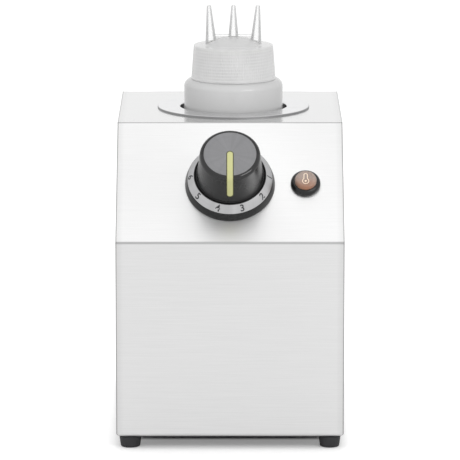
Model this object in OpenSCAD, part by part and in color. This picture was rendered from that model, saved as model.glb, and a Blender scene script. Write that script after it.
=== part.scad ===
// Counter-top warmer for one bottle of hot fudge topping.
// A stainless steel case with a 45 degree control face holds a heated dry well.
// A squeeze bottle with a three-nozzle screw cap stands in the well.
// The front faces -Y, +Z is up, and the feet stand on z = 0.

/* [Case] */
// Width of the case over its side panels
body_w = 180; // [170:1:200]
// Height of the upright front, from its lower edge to the fold
front_h = 156; // [140:1:180]
// Depth of the sloping control face, front to back
slope_run = 82.5; // [76:0.5:95]
// Rise of the sloping control face
slope_rise = 82.5; // [76:0.5:95]
// Depth of the flat top
top_d = 166; // [156:1:190]
// Thickness of the case sheets
sheet_t = 1.0; // [0.8:0.1:1.2]
// Outer radius of the sheet bends
bend_r = 2.5; // [2:0.1:3.5]
// Outer radius of the lower side edges and corners
skirt_r = 3.0; // [2.5:0.1:4]
// Width of the folded flanges that join the sheets
flange_w = 14; // [12:0.5:16]
// How far the base plate is set in from the case
base_inset = 3.5; // [3:0.1:5]

/* [Feet] */
// Height of a rubber foot
foot_h = 9; // [7:0.5:14]
// Radius of a foot where it meets the base plate
foot_r_top = 8.8; // [7.5:0.1:9]
// Radius of a foot near the floor
foot_r_low = 7.8; // [6.5:0.1:8.4]
// Distance of a foot's centre from the nearest case faces
foot_inset = 11; // [10.5:0.1:13]

/* [Well] */
// Sideways place of the well, from the middle of the case
well_x = 2.8; // [-4:0.1:6]
// Distance of the well's axis behind the front edge of the top
well_back = 80; // [76:0.5:84]
// Inner radius of the well
well_r = 43.5; // [43:0.1:46]
// Depth of the well under the top
well_depth = 165; // [155:1:175]
// Wall thickness of the well
well_t = 0.8; // [0.7:0.1:1.2]
// Outer radius of the well's flange
rim_r = 62; // [60:0.5:66]
// Thickness of the well's flange
rim_t = 1.4; // [1:0.1:2]

/* [Bottle] */
// Outer radius of the bottle
bottle_r = 40.3; // [38:0.1:41.5]
// How far the bottle's shoulder stands above the case top
shoulder_up = 23.7; // [20:0.1:30]
// Radius of the shoulder's curve
shoulder_r = 6.2; // [4:0.1:8]
// Wall thickness of the bottle
bottle_t = 1.4; // [1.1:0.1:1.8]
// Outer radius of the threaded neck
neck_r = 29; // [28:0.1:29.4]
// Rise of the cap's thread in one turn
thread_pitch = 5; // [4.5:0.1:5.5]
// Height of a thread ridge above its wall
thread_h = 1.5; // [1.2:0.1:1.7]

/* [Cap] */
// Outer radius of the cap at its lower edge
cap_r_low = 34.3; // [34:0.1:35.5]
// Outer radius of the cap at its top
cap_r_top = 32.4; // [32:0.1:33.2]
// Height of the cap's skirt
cap_h = 25.6; // [25:0.1:27]
// Gap between the shoulder and the cap
cap_gap = 2.2; // [1.5:0.1:3]
// Wall thickness of the cap
cap_t = 1.5; // [1.2:0.1:1.8]
// Radius of the domed middle of the cap
dome_r = 23.5; // [23:0.1:24.5]
// Height of the dome
dome_h = 6.6; // [5.5:0.1:8]
// Distance between two nozzles at their tips
nozzle_gap = 20; // [18.5:0.1:20.5]
// How much nearer the outer nozzles' roots are to the middle than their tips
nozzle_lean = 1.8; // [1:0.1:2.4]
// Height of the nozzle tips above the flat of the cap
nozzle_h = 32; // [28:0.5:38]
// Radius of a nozzle at its root
nozzle_r_low = 4.7; // [4:0.1:4.9]
// Radius of a nozzle at its tip
nozzle_r_tip = 1.7; // [1.6:0.1:2]
// Radius of the bore at a nozzle's tip
nozzle_bore = 0.9; // [0.7:0.1:1.1]

/* [Dial] */
// Distance of the knob's axis from the fold, along the slope
dial_up = 56.2; // [52:0.2:60]
// Outer radius of the fixed dial
dial_r = 35.6; // [34:0.1:37]
// Height of the dial's black skirt
dial_skirt_h = 7; // [6:0.1:8]
// Radius of the silver band's outer edge
band_r_out = 33.7; // [33:0.1:33.9]
// Radius of the silver band's inner edge
band_r_in = 28.4; // [28.2:0.1:29]
// Rise of the silver band from its outer to its inner edge
band_rise = 5.6; // [5:0.1:6.5]
// Radius of the knob at its lower end
knob_r_low = 27.1; // [26.5:0.1:27.2]
// Radius of the knob's grip under its rim
knob_r_top = 24; // [23:0.1:25]
// Height of the knob's face above the slope
knob_h = 41.3; // [38:0.1:44]
// Radius of the knob's rounded rim
knob_rim = 3.2; // [2.5:0.1:3.6]
// Width of the pointer
pointer_w = 4.4; // [3.6:0.1:5]
// Radius of the control's spindle
spindle_r = 3; // [2.8:0.1:3.2]

/* [Lamp] */
// Distance of the pilot lamp's middle from the right side
lamp_inset = 30.2; // [29:0.1:34]
// Outer radius of the lamp's bezel
lamp_r = 11.8; // [11:0.1:12.5]
// Height of the lamp's bezel
lamp_bezel_h = 4.6; // [4:0.1:5.5]
// Radius of the lens
lens_r = 8.75; // [8.4:0.05:9]
// Height of the lens above the slope
lens_h = 8; // [7.4:0.1:9]

/* [Gland] */
// Distance of the cable gland's middle from the left side
gland_inset = 38; // [32:1:44]
// Height of the cable gland above the case's lower edge
gland_up = 26; // [24:1:34]
// Radius of the gland's cable passage
gland_bore = 3.6; // [3:0.1:4]
// Length of the gland behind the back panel
gland_len = 20; // [18:0.5:24]

/* [Hidden] */

$fn = 64;

// Small amount by which a cutter runs past the face it cuts
over = 1;
// Gap between pieces that are fixed to each other at a curved face
seat_gap = 0.1;
// Gap between pieces that move past each other
run_gap = 0.35;
// Gap under the pieces that sit on the slope
face_gap = 0.02;

// Heights and depths of the case, from the driving sizes
z_skirt = foot_h + sheet_t;
z_fold = z_skirt + front_h;
z_top = z_fold + slope_rise;
slope_deg = atan2(slope_rise, slope_run);

// Front and rear reach of what stands out of the case, so that y = 0 is the middle of the whole
knob_rim_r = knob_r_top - knob_rim;
knob_rim_h = knob_h - knob_rim;
dial_y = dial_up * cos(slope_deg);
knob_reach = knob_rim_h * sin(slope_deg) + knob_rim_r * cos(slope_deg) + knob_rim - dial_y;
case_d = slope_run + top_d;
y_front = (max(knob_reach, 0) - gland_len - case_d) / 2;
y_crest = y_front + slope_run;
y_rear = y_front + case_d;
y_well = y_crest + well_back;
z_floor = z_top - well_depth;
pot_base = z_floor - well_t;
half_w = body_w / 2;
lamp_x = half_w - lamp_inset;
gland_x = -half_w + gland_inset;

// Screws and nuts, by radius and length
hole_gap = 0.1;
screw_r = 2;
screw_hole = screw_r + hole_gap;
head_r = 3.8;
head_h = 2.4;
nut_r = 4;
nut_t = 3.2;
thread_past = 1;
stud_r = 1.5;
stud_hole = stud_r + hole_gap;
small_nut_r = 3.1;
small_nut_t = 2.4;
well_stud_len = sheet_t + small_nut_t + thread_past;

// Wiring
wire_r = 1.1;
wire_sides = 8;

// Points of a bend that the outline takes while its direction turns from a1 to a2 degrees,
// at a depth d under the outer face of a bend of outer radius r around the sharp corner p
function right_of(a) = [sin(a), -cos(a)];
function bend(p, a1, a2, r, d, n = 5) =
    let (n1 = right_of(a1), n2 = right_of(a2), c = p + r * (n1 + n2) / (1 + n1 * n2))
    [for (k = [0:n]) c - (r - d) * right_of(a1 + (a2 - a1) * k / n)];

// Front, slope and top of the case at a depth d under the outer face
function face_line(d) = concat(
    bend([y_front, z_fold], 90, slope_deg, bend_r, d),
    bend([y_crest, z_top], slope_deg, 0, bend_r, d)
);

// The whole strip that the wrap is folded from, at a depth d under its outer face
function wrap_line(d) = concat(
    [[y_front + flange_w, z_skirt + d]],
    bend([y_front, z_skirt], 180, 90, bend_r, d),
    face_line(d),
    bend([y_rear, z_top], 0, -90, bend_r, d),
    [[y_rear - d, z_top - flange_w]]
);

function reversed(v) = [for (k = [len(v) - 1:-1:0]) v[k]];

// Outline of a side panel: all that lies a depth d inside the front, slope, top and rear
function side_outline(d) = concat(
    [[y_front + d, z_skirt]],
    face_line(d),
    bend([y_rear, z_top], 0, -90, bend_r, d),
    [[y_rear - d, z_skirt]]
);

// Points on an arc in the plane, from angle a1 to a2 around c
function arc(c, r, a1, a2, n = 6) =
    [for (k = [0:n]) let (a = a1 + (a2 - a1) * k / n) c + r * [cos(a), sin(a)]];

// Extrudes a shape drawn in (y, z) along X, from x0 over a width w
module along_x(x0, w) {
    translate([x0, 0, 0]) rotate([90, 0, 90]) linear_extrude(w) children();
}

// Extrudes a shape drawn in (x, z) along Y, from y0 over a depth d
module along_y(y0, d) {
    translate([0, y0 + d, 0]) rotate([90, 0, 0]) linear_extrude(d) children();
}

// Places a child on the slope, with +Z out of it and +Y up it, at x and up from the fold
module on_slope(x = 0, up = dial_up) {
    translate([x, y_front + up * cos(slope_deg), z_fold + up * sin(slope_deg)])
        rotate([slope_deg, 0, 0]) children();
}

module at_well(z = 0) {
    translate([well_x, y_well, z]) children();
}

module at_corners(inset) {
    for (x = [-half_w + inset, half_w - inset])
        for (y = [y_front + inset, y_rear - inset])
            translate([x, y, 0]) children();
}

module tube(r_out, r_in, h) {
    difference() {
        cylinder(r = r_out, h = h);
        translate([0, 0, -over]) cylinder(r = r_in, h = h + 2 * over);
    }
}

module hex_nut(r, t, hole) {
    difference() {
        cylinder(r = r, h = t, $fn = 6);
        translate([0, 0, -over]) cylinder(r = hole, h = t + 2 * over);
    }
}

// A pan-head screw with its seat at z = 0, its head above and its shank below
module pan_screw(r, head_r, head_h, length) {
    translate([0, 0, -length]) cylinder(r = r, h = length + 0.01);
    difference() {
        rotate_extrude() polygon(concat(
            [[0, 0], [head_r, 0], [head_r, head_h * 0.4]],
            arc([head_r - head_h * 0.6, head_h * 0.4], head_h * 0.6, 0, 90, 4),
            [[0, head_h]]
        ));
        for (a = [0, 90])
            rotate([0, 0, a]) translate([-head_r * 0.55, -head_r * 0.11, head_h * 0.45])
                cube([head_r * 1.1, head_r * 0.22, head_h]);
    }
}

// The case seen from the front, with its rounded lower corners
module front_shape() {
    translate([-half_w, z_skirt + skirt_r]) square([body_w, z_top - z_skirt]);
    translate([-half_w + skirt_r, z_skirt]) square([body_w - 2 * skirt_r, skirt_r + over]);
    for (x = [-half_w + skirt_r, half_w - skirt_r])
        translate([x, z_skirt + skirt_r]) circle(r = skirt_r);
}

// CASE

thermostat_screw_gap = 28;
stud_pcd_r = (rim_r + well_r) / 2 + 1;
lamp_neck_r = 7.9;
bush_r = 5;
// Room between the bends of two sheets, and round the well
bend_gap = 0.5;
well_gap = 0.7;
// Gap along the seam of the rear flange and the back panel
seam_gap = 0.4;

module housing_wrap() color([0.80, 0.80, 0.80]) difference() {
    intersection() {
        along_x(-half_w, body_w)
            polygon(concat(wrap_line(0), reversed(wrap_line(sheet_t))));
        along_y(y_front - over, case_d + 2 * over) front_shape();
    }
    // the front's lower flange stops short of the side panels' flanges
    for (side = [0, 1]) mirror([side, 0, 0])
        translate([half_w - side_flange_w - over, y_front + bend_r + bend_gap, z_skirt - over])
            cube([side_flange_w + 2 * over, flange_w, sheet_t + 2 * over]);
    at_well(z_top - sheet_t - over)
        cylinder(r = well_r + well_t + well_gap, h = sheet_t + 2 * over);
    at_well(z_top - sheet_t - over) for (a = [45:90:315])
        rotate([0, 0, a]) translate([stud_pcd_r, 0, 0]) cylinder(r = stud_hole, h = sheet_t + 2 * over);
    on_slope() translate([0, 0, -sheet_t - over]) {
        cylinder(r = bush_r + hole_gap, h = sheet_t + 2 * over);
        for (side = [-1, 1])
            translate([side * thermostat_screw_gap / 2, 0, 0])
                cylinder(r = screw_hole, h = sheet_t + 2 * over);
    }
    on_slope(lamp_x) translate([0, 0, -sheet_t - over])
        cylinder(r = lamp_neck_r + hole_gap, h = sheet_t + 2 * over);
}

notch = 6;
side_flange_w = flange_w + 1;

module side_panel() difference() {
    union() {
        // the sheet and its lower flange, which is folded inwards
        intersection() {
            along_y(y_front, case_d) difference() {
                front_shape();
                translate([-half_w + sheet_t, z_skirt + skirt_r]) square([body_w, z_top]);
                translate([-half_w + skirt_r, z_skirt + sheet_t]) square([body_w, z_top]);
                translate([-half_w + skirt_r, z_skirt + skirt_r]) circle(r = skirt_r - sheet_t);
                translate([-half_w + side_flange_w, z_skirt - over]) square([body_w, z_top]);
            }
            along_x(-half_w, body_w) polygon(side_outline(sheet_t));
        }
        // the flanges that lie under the wrap and the back panel
        intersection() {
            along_x(-half_w + sheet_t / 2, flange_w) difference() {
                polygon(side_outline(sheet_t));
                polygon(side_outline(2 * sheet_t));
            }
            translate([-half_w, y_front, z_skirt + notch]) cube([body_w, case_d, z_top]);
        }
    }
    // notches where the flanges turn a corner
    for (p = [[y_front, z_fold], [y_crest, z_top], [y_rear, z_top]])
        along_x(-half_w + sheet_t, flange_w) translate(p) circle(r = notch);
    // room for the wrap's lower bend
    translate([-half_w - over, y_front - over, z_skirt - over])
        cube([body_w, bend_r + bend_gap + over, bend_r + bend_gap + over]);
    side_panel_holes();
}

// Places of the holes in the left side panel's flanges
back_screw_x = half_w - flange_w / 2 - sheet_t / 2;
base_screw_x = half_w - side_flange_w / 2 - sheet_t;
base_screw_y = y_front + case_d / 2;
back_screw_low = 22;
back_top = z_top - flange_w - seam_gap;
back_screw_z = [z_skirt + back_screw_low, (z_skirt + back_top) / 2, back_top - back_screw_low];

module side_panel_holes() {
    for (y = [y_front + foot_inset, y_rear - foot_inset])
        translate([-half_w + foot_inset, y, z_skirt - over]) cylinder(r = screw_hole, h = sheet_t + 2 * over);
    translate([-base_screw_x, base_screw_y, z_skirt - over])
        cylinder(r = screw_hole, h = sheet_t + 2 * over);
    for (z = back_screw_z)
        translate([-back_screw_x, y_rear + over, z]) rotate([90, 0, 0])
            cylinder(r = screw_hole, h = 2 * sheet_t + 2 * over);
}

module side_panel_left() color([0.76, 0.76, 0.77]) side_panel();

module side_panel_right() color([0.76, 0.76, 0.77]) mirror([1, 0, 0]) side_panel();

gland_z = z_skirt + gland_up;
gland_thread_r = 6;

module back_panel() color([0.74, 0.74, 0.75]) difference() {
    intersection() {
        translate([-half_w, y_rear - sheet_t, z_skirt])
            cube([body_w, sheet_t, back_top - z_skirt]);
        along_y(y_front, case_d + over) front_shape();
    }
    for (side = [-1, 1]) for (z = back_screw_z)
        translate([side * back_screw_x, y_rear + over, z]) rotate([90, 0, 0])
            cylinder(r = screw_hole, h = sheet_t + 2 * over);
    translate([gland_x, y_rear + over, gland_z]) rotate([90, 0, 0])
        cylinder(r = gland_thread_r + hole_gap, h = sheet_t + 2 * over);
}

block_l = 34;
block_d = 20;
block_h = 16;
block_y = y_rear - 44;
earth_x = gland_x + block_l / 2 + 21;
earth_y = y_rear - 30;

module base_plate() color([0.62, 0.62, 0.63]) difference() {
    translate([-half_w + base_inset, y_front + base_inset, z_skirt - sheet_t])
        cube([body_w - 2 * base_inset, case_d - 2 * base_inset, sheet_t]);
    at_corners(foot_inset) translate([0, 0, z_skirt - sheet_t - over])
        cylinder(r = screw_hole, h = sheet_t + 2 * over);
    for (side = [-1, 1]) translate([side * base_screw_x, base_screw_y, z_skirt - sheet_t - over])
        cylinder(r = screw_hole, h = sheet_t + 2 * over);
    translate([earth_x, earth_y, z_skirt - sheet_t - over]) cylinder(r = screw_hole, h = sheet_t + 2 * over);
}

foot_pocket_r = 4.6;
foot_web = 4;
foot_pocket_h = foot_h - foot_web;
foot_round = 1.2;
foot_edge = 0.6;

module feet() color([0.10, 0.10, 0.10]) at_corners(foot_inset) difference() {
    rotate_extrude() polygon(concat(
        [[0, 0]],
        arc([foot_r_low - foot_round, foot_round], foot_round, -90, 0, 4),
        [[foot_r_top, foot_h - foot_edge], [foot_r_top - foot_edge, foot_h], [0, foot_h]]
    ));
    translate([0, 0, -over]) cylinder(r = foot_pocket_r, h = foot_pocket_h + over);
    cylinder(r = screw_hole, h = foot_h + over);
}

module foot_screws() color([0.70, 0.70, 0.72]) at_corners(foot_inset)
    translate([0, 0, foot_pocket_h]) mirror([0, 0, 1])
        pan_screw(screw_r, head_r, head_h, foot_web + 2 * sheet_t + nut_t + thread_past);

module foot_nuts() color([0.70, 0.70, 0.72]) at_corners(foot_inset)
    translate([0, 0, z_skirt + sheet_t]) rotate([0, 0, 30]) hex_nut(nut_r, nut_t, screw_hole);

case_screw_len = 8;

module base_screws() color([0.70, 0.70, 0.72]) for (side = [-1, 1])
    translate([side * base_screw_x, base_screw_y, z_skirt - sheet_t]) mirror([0, 0, 1])
        pan_screw(screw_r, head_r, head_h, case_screw_len);

module back_screws() color([0.72, 0.72, 0.74]) for (side = [-1, 1]) for (z = back_screw_z)
    translate([side * back_screw_x, y_rear, z]) rotate([-90, 0, 0])
        pan_screw(screw_r, head_r, head_h, case_screw_len);

// WELL

well_round = 3;
rim_round = rim_t / 2;
mouth_round = 0.85 * rim_t;
weld = 0.4;

module well_pot() color([0.84, 0.84, 0.84]) at_well() {
    rotate_extrude($fn = 96) polygon(concat(
        [[0, z_floor - well_t]],
        arc([well_r - well_round, z_floor + well_round], well_round + well_t, -90, 0),
        [[well_r + well_t, z_top], [rim_r, z_top]],
        arc([rim_r - rim_round, z_top + rim_t - rim_round], rim_round, 0, 90, 3),
        arc([well_r + mouth_round, z_top + rim_t - mouth_round], mouth_round, 90, 180, 4),
        arc([well_r - well_round, z_floor + well_round], well_round, 0, -90),
        [[0, z_floor]]
    ));
    // studs welded under the flange
    for (a = [45:90:315]) rotate([0, 0, a])
        translate([stud_pcd_r, 0, z_top - well_stud_len]) cylinder(r = stud_r, h = well_stud_len + weld);
    // studs welded under the floor, for the cut-out's bracket
    for (side = [-1, 1]) translate([side * cutout_stud_gap / 2, 0, pot_base - cutout_stud_len])
        cylinder(r = stud_r, h = cutout_stud_len + weld);
}

module well_nuts() color([0.70, 0.70, 0.72]) at_well(z_top - sheet_t - small_nut_t)
    for (a = [45:90:315]) rotate([0, 0, a]) translate([stud_pcd_r, 0, 0])
        hex_nut(small_nut_r, small_nut_t, stud_hole);

band_t = 2.5;
band_low = 14;
band_tall = 72;
band_r = well_r + well_t + seat_gap;
band_gap = 9;
ear_out = 9;
ear_t = 1.6;
clamp_z = [band_tall * 0.25, band_tall * 0.75];
clamp_out = band_r + ear_out * 0.6;
clamp_head_r = 2.9;
pole_r = 4;
pole_h = 5;
pole_deg = 22;
pole_z = band_tall / 2;

module heater_band() color([0.55, 0.56, 0.58]) at_well(z_floor + band_low) {
    difference() {
        tube(band_r + band_t, band_r, band_tall);
        translate([-band_gap / 2, -band_r - band_t - over, -over])
            cube([band_gap, 2 * band_t + over, band_tall + 2 * over]);
    }
    // ears of the clamp
    difference() {
        for (side = [0, 1]) mirror([side, 0, 0]) translate([band_gap / 2, -band_r - ear_out, 0])
            cube([ear_t, ear_out, band_tall]);
        cylinder(r = band_r, h = band_tall);
        for (z = clamp_z) translate([-band_gap, -clamp_out, z]) rotate([0, 90, 0])
            cylinder(r = stud_hole, h = 2 * band_gap);
    }
    // two ceramic terminals
    for (side = [-1, 1]) rotate([0, 0, side * pole_deg])
        translate([0, -band_r - band_t / 2, pole_z]) rotate([90, 0, 0])
            cylinder(r = pole_r, h = band_t / 2 + pole_h);
}

module heater_clamp() color([0.70, 0.70, 0.72]) at_well(z_floor + band_low)
    for (z = clamp_z) translate([0, -clamp_out, z]) rotate([0, 90, 0]) {
        translate([0, 0, -band_gap / 2 - ear_t - head_h]) cylinder(r = clamp_head_r, h = head_h);
        translate([0, 0, -band_gap / 2 - ear_t - 0.1])
            cylinder(r = stud_r, h = band_gap + 2 * ear_t + small_nut_t + thread_past);
        translate([0, 0, band_gap / 2 + ear_t]) cylinder(r = clamp_head_r, h = small_nut_t, $fn = 6);
    }

sleeve_r = band_r + band_t + seat_gap;
sleeve_t = 9;
sleeve_low = 4;
sleeve_top = 8;
sleeve_h = well_depth - sleeve_low - sleeve_top;
sleeve_open = 24;
sleeve_deep = sqrt(pow(sleeve_r, 2) - pow(sleeve_open, 2)) - seat_gap;

module insulation_sleeve() color([0.86, 0.84, 0.74]) at_well(z_floor + sleeve_low) difference() {
    tube(sleeve_r + sleeve_t, sleeve_r, sleeve_h);
    // opening for the clamp, the heater's terminals and the sensing bulb
    translate([-sleeve_open, -sleeve_r - sleeve_t - over, -over])
        cube([2 * sleeve_open, sleeve_r + sleeve_t + over - sleeve_deep, sleeve_h + 2 * over]);
}

strap_t = 0.6;
strap_w = 10;
strap_r = sleeve_r + sleeve_t + seat_gap;
strap_end = sleeve_open - strap_t - seat_gap;
strap_end_y = sqrt(pow(strap_r + strap_t, 2) - pow(strap_end + strap_t, 2));
hook_len = 6;
strap_in = 20;
strap_z = [z_floor + sleeve_low + strap_in, z_floor + sleeve_low + sleeve_h - strap_in - strap_w];

module insulation_straps() color([0.72, 0.72, 0.72]) for (z = strap_z) at_well(z) {
    difference() {
        tube(strap_r + strap_t, strap_r, strap_w);
        translate([-strap_end, -strap_r - over, -over]) cube([2 * strap_end, strap_r, strap_w + 2 * over]);
    }
    // ends that hook into the sleeve's opening
    for (side = [0, 1]) mirror([side, 0, 0]) translate([strap_end, -strap_end_y, 0])
        cube([strap_t, hook_len, strap_w]);
}

// THERMAL CUT-OUT

cutout_stud_gap = 34;
cutout_r = 8;
cutout_flange_t = 2.2;
cutout_can_r = cutout_r - 1.2;
cutout_h = 9;
cutout_tab = 7;
cutout_tab_x = 4;
tab_w = 6;
tab_t = 0.8;
bracket_t = 1;
bracket_edge = 2;
bracket_z = pot_base - cutout_flange_t - bracket_t;
cutout_stud_len = cutout_flange_t + bracket_t + small_nut_t + thread_past;

module thermal_cutout() color([0.20, 0.18, 0.16]) at_well(pot_base) {
    translate([0, 0, -cutout_flange_t]) cylinder(r = cutout_r, h = cutout_flange_t);
    translate([0, 0, -cutout_h]) cylinder(r = cutout_can_r, h = cutout_h - cutout_flange_t / 2);
    for (side = [-1, 1]) translate([side * cutout_tab_x - tab_t / 2, -tab_w / 2, -cutout_h - cutout_tab])
        cube([tab_t, tab_w, cutout_tab + 0.2]);
}

module cutout_bracket() color([0.66, 0.66, 0.68]) at_well(bracket_z) difference() {
    translate([-cutout_stud_gap / 2 - stud_r - bracket_edge, -cutout_r - bracket_edge, 0])
        cube([cutout_stud_gap + 2 * (stud_r + bracket_edge), 2 * (cutout_r + bracket_edge), bracket_t]);
    translate([0, 0, -over]) cylinder(r = cutout_can_r + hole_gap, h = bracket_t + 2 * over);
    for (side = [-1, 1]) translate([side * cutout_stud_gap / 2, 0, -over])
        cylinder(r = stud_hole, h = bracket_t + 2 * over);
}

module cutout_nuts() color([0.70, 0.70, 0.72]) for (side = [-1, 1]) {
    at_well(bracket_z - small_nut_t) translate([side * cutout_stud_gap / 2, 0, 0])
        hex_nut(small_nut_r, small_nut_t, stud_hole);
    // the nut that sets the bracket's distance from the floor
    at_well(bracket_z + bracket_t) translate([side * cutout_stud_gap / 2, 0, 0])
        hex_nut(small_nut_r, cutout_flange_t - seat_gap, stud_hole);
}

// THERMOSTAT

stat_w = 44;
stat_l = 36;
stat_depth = 26;
stat_plate_t = 2;
plate_w = 40;
plate_l = 24;
stat_top = -sheet_t - stat_plate_t;
stat_tab_gap = 18;
stat_tab_len = 8;
stat_tab_z = stat_top - stat_depth / 2;
bush_top = 2;
spindle_gap = 0.05;
spindle_deep = 13;
screw_deep = 5;
capillary_r = 0.75;
passage_gap = 0.15;
passage_len = 4;
capillary_z = stat_top - stat_depth + 6;

module thermostat_plate() color([0.68, 0.69, 0.72]) on_slope() difference() {
    translate([-plate_w / 2, -plate_l / 2, stat_top]) cube([plate_w, plate_l, stat_plate_t]);
    translate([0, 0, stat_top - over]) cylinder(r = bush_r + hole_gap, h = stat_plate_t + 2 * over);
    for (side = [-1, 1]) translate([side * thermostat_screw_gap / 2, 0, stat_top - over])
        cylinder(r = screw_hole, h = stat_plate_t + 2 * over);
}

module thermostat_body() color([0.88, 0.86, 0.80]) on_slope() difference() {
    union() {
        translate([-stat_w / 2, -stat_l / 2, stat_top - stat_depth]) cube([stat_w, stat_l, stat_depth]);
        translate([0, 0, stat_top - over]) cylinder(r = bush_r, h = bush_top - stat_top + over);
        // flat terminals at its lower end
        for (side = [-1, 1])
            translate([side * stat_tab_gap / 2 - tab_w / 2, -stat_l / 2 - stat_tab_len, stat_tab_z])
                cube([tab_w, stat_tab_len + over, tab_t]);
    }
    translate([0, 0, stat_top - spindle_deep - over])
        cylinder(r = spindle_r + spindle_gap, h = spindle_deep + bush_top - stat_top + 2 * over);
    for (side = [-1, 1]) translate([side * thermostat_screw_gap / 2, 0, stat_top - screw_deep - over])
        cylinder(r = screw_hole, h = screw_deep + 2 * over);
    // passage of the capillary tube
    translate([-stat_w / 2 - over, -capillary_r - passage_gap, capillary_z - capillary_r - passage_gap])
        cube([passage_len + over, 2 * (capillary_r + passage_gap), 2 * (capillary_r + passage_gap)]);
}

module thermostat_screws() color([0.70, 0.70, 0.72]) on_slope()
    for (side = [-1, 1]) translate([side * thermostat_screw_gap / 2, 0, dial_floor])
        pan_screw(screw_r, head_r, head_h, dial_floor - stat_top + screw_deep);

// DIAL AND KNOB

dial_floor = 1.5;
dial_inner_r = knob_r_low + run_gap;
dial_lip = 0.2;
dial_base_h = 0.8;
band_sheet = 0.7;
band_lift = 0.05;
band_edge = 0.3;
band_top = dial_skirt_h + band_rise;

// Half outline of the silver band that carries the numerals: a plain cone, laid in the bezel's recess
module band_section(lift) polygon([
    [band_r_out - band_edge, dial_skirt_h - band_sheet / 2 + lift],
    [band_r_out - lift, dial_skirt_h + lift],
    [band_r_in + band_edge / 2 + lift, band_top + lift],
    [band_r_in + band_edge, band_top - band_sheet + lift]
]);

module dial_bezel() color([0.06, 0.06, 0.06]) on_slope() difference() {
    rotate_extrude($fn = 96) polygon([
        [0, face_gap], [dial_r, face_gap], [dial_r, dial_base_h],
        [band_r_out, dial_skirt_h],
        [band_r_out - band_edge, dial_skirt_h - band_sheet / 2],
        [band_r_in + band_edge, band_top - band_sheet],
        [band_r_in + band_edge / 2, band_top], [band_r_in - band_edge, band_top + dial_lip],
        [dial_inner_r, band_top - dial_lip], [dial_inner_r, dial_floor], [0, dial_floor]
    ]);
    translate([0, 0, -over]) cylinder(r = bush_r + hole_gap, h = dial_floor + 2 * over);
    for (side = [-1, 1]) translate([side * thermostat_screw_gap / 2, 0, -over])
        cylinder(r = screw_hole, h = dial_floor + 2 * over);
}

module dial_band() color([0.70, 0.70, 0.70]) on_slope() rotate_extrude($fn = 96) band_section(band_lift);

knob_low = dial_floor + 1;
knob_wall = 2.2;
knob_neck_h = band_top + 3.9;
knob_neck_r = knob_r_low - 1.2;
neck_slope = 2;
hub_r = 6.2;
hub_low = knob_low + 5.5;
spindle_top = 26;
spindle_flat = 0.55 * spindle_r;
spring_t = 0.9;
spring_h = 7;
spring_slot = 3;

// Half outline of the knob, shrunk by d
function knob_line(d) = concat(
    [[knob_r_low - d, knob_low], [knob_r_low - d, band_top + run_gap]],
    [[knob_neck_r + run_gap - d, knob_neck_h - neck_slope], [knob_neck_r - d, knob_neck_h]],
    arc([knob_rim_r, knob_rim_h], knob_rim - d, 0, 90, 6),
    [[0, knob_h - d]]
);

module knob_solid(d) {
    rotate_extrude($fn = 96) polygon(concat([[0, knob_low]], knob_line(d)));
}

// The pointer runs from the middle of the face over the rim and down the side, this far
pointer_drop = 21.3;
pointer_low = knob_h - pointer_drop;
pointer_t = 0.8;
pointer_groove = 0.35;
pointer_skin = 0.05;

// Space taken by the pointer, w wide
module pointer_space(w) {
    translate([0, 0, knob_rim_h - over]) linear_extrude(knob_rim + 2 * over) {
        circle(d = w);
        translate([-w / 2, -knob_r_low]) square([w, knob_r_low]);
    }
    rotate([90, 0, 0]) translate([0, 0, knob_rim_r - knob_rim]) linear_extrude(knob_r_low) {
        translate([0, pointer_low + pointer_w / 2]) circle(d = w);
        translate([-w / 2, pointer_low + pointer_w / 2]) square([w, knob_rim_h - pointer_low]);
    }
}

// The D-shaped section of the spindle, with a gap round it
module spindle_section(gap) intersection() {
    circle(r = spindle_r + gap);
    translate([-hub_r, -hub_r]) square([2 * hub_r, hub_r + spindle_flat + gap]);
}

module knob() color([0.07, 0.07, 0.07]) on_slope() difference() {
    knob_solid(0);
    // the hollow between the wall and the hub
    difference() {
        translate([0, 0, knob_low - over])
            cylinder(r1 = knob_r_low - knob_wall, r2 = knob_rim_r, h = knob_rim_h - knob_low + over);
        translate([0, 0, hub_low]) cylinder(r = hub_r, h = knob_h);
    }
    translate([0, 0, knob_low]) linear_extrude(spindle_top + seat_gap - knob_low)
        spindle_section(spindle_gap);
    // groove of the pointer
    difference() {
        pointer_space(pointer_w + 2 * pointer_groove);
        knob_solid(pointer_t);
    }
}

module pointer_insert() color([0.78, 0.78, 0.45]) on_slope() intersection() {
    pointer_space(pointer_w);
    difference() {
        knob_solid(pointer_skin);
        knob_solid(pointer_t);
    }
}

module knob_spring() color([0.72, 0.72, 0.74]) on_slope() translate([0, 0, hub_low + over]) difference() {
    tube(hub_r + spring_t, hub_r + seat_gap, spring_h);
    translate([0, -spring_slot / 2, -over]) cube([2 * hub_r, spring_slot, spring_h + 2 * over]);
}

module thermostat_spindle() color([0.80, 0.80, 0.82]) on_slope() {
    translate([0, 0, stat_top - spindle_deep]) cylinder(r = spindle_r, h = spindle_deep - stat_top + hub_low);
    translate([0, 0, hub_low - weld]) linear_extrude(spindle_top - hub_low + weld) spindle_section(0);
}

// SENSOR

bulb_r = 3;
bulb_round = 1;
bulb_gap = 5;
bulb_top_gap = 12;
bulb_low = z_floor + band_low + band_tall + bulb_gap;
bulb_len = z_top - bulb_top_gap - bulb_low;
bulb_y = y_well - band_r - bulb_r;
clip_h = 12;
clip_t = 0.8;
clip_wing = 7;

module sensing_bulb() color([0.74, 0.60, 0.42]) translate([well_x, bulb_y, bulb_low])
    rotate_extrude() polygon(concat(
        [[0, 0]],
        arc([bulb_r - bulb_round, bulb_round], bulb_round, -90, 0, 3),
        arc([bulb_r - bulb_round, bulb_len - bulb_round], bulb_round, 0, 90, 3),
        [[0, bulb_len]]
    ));

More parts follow.
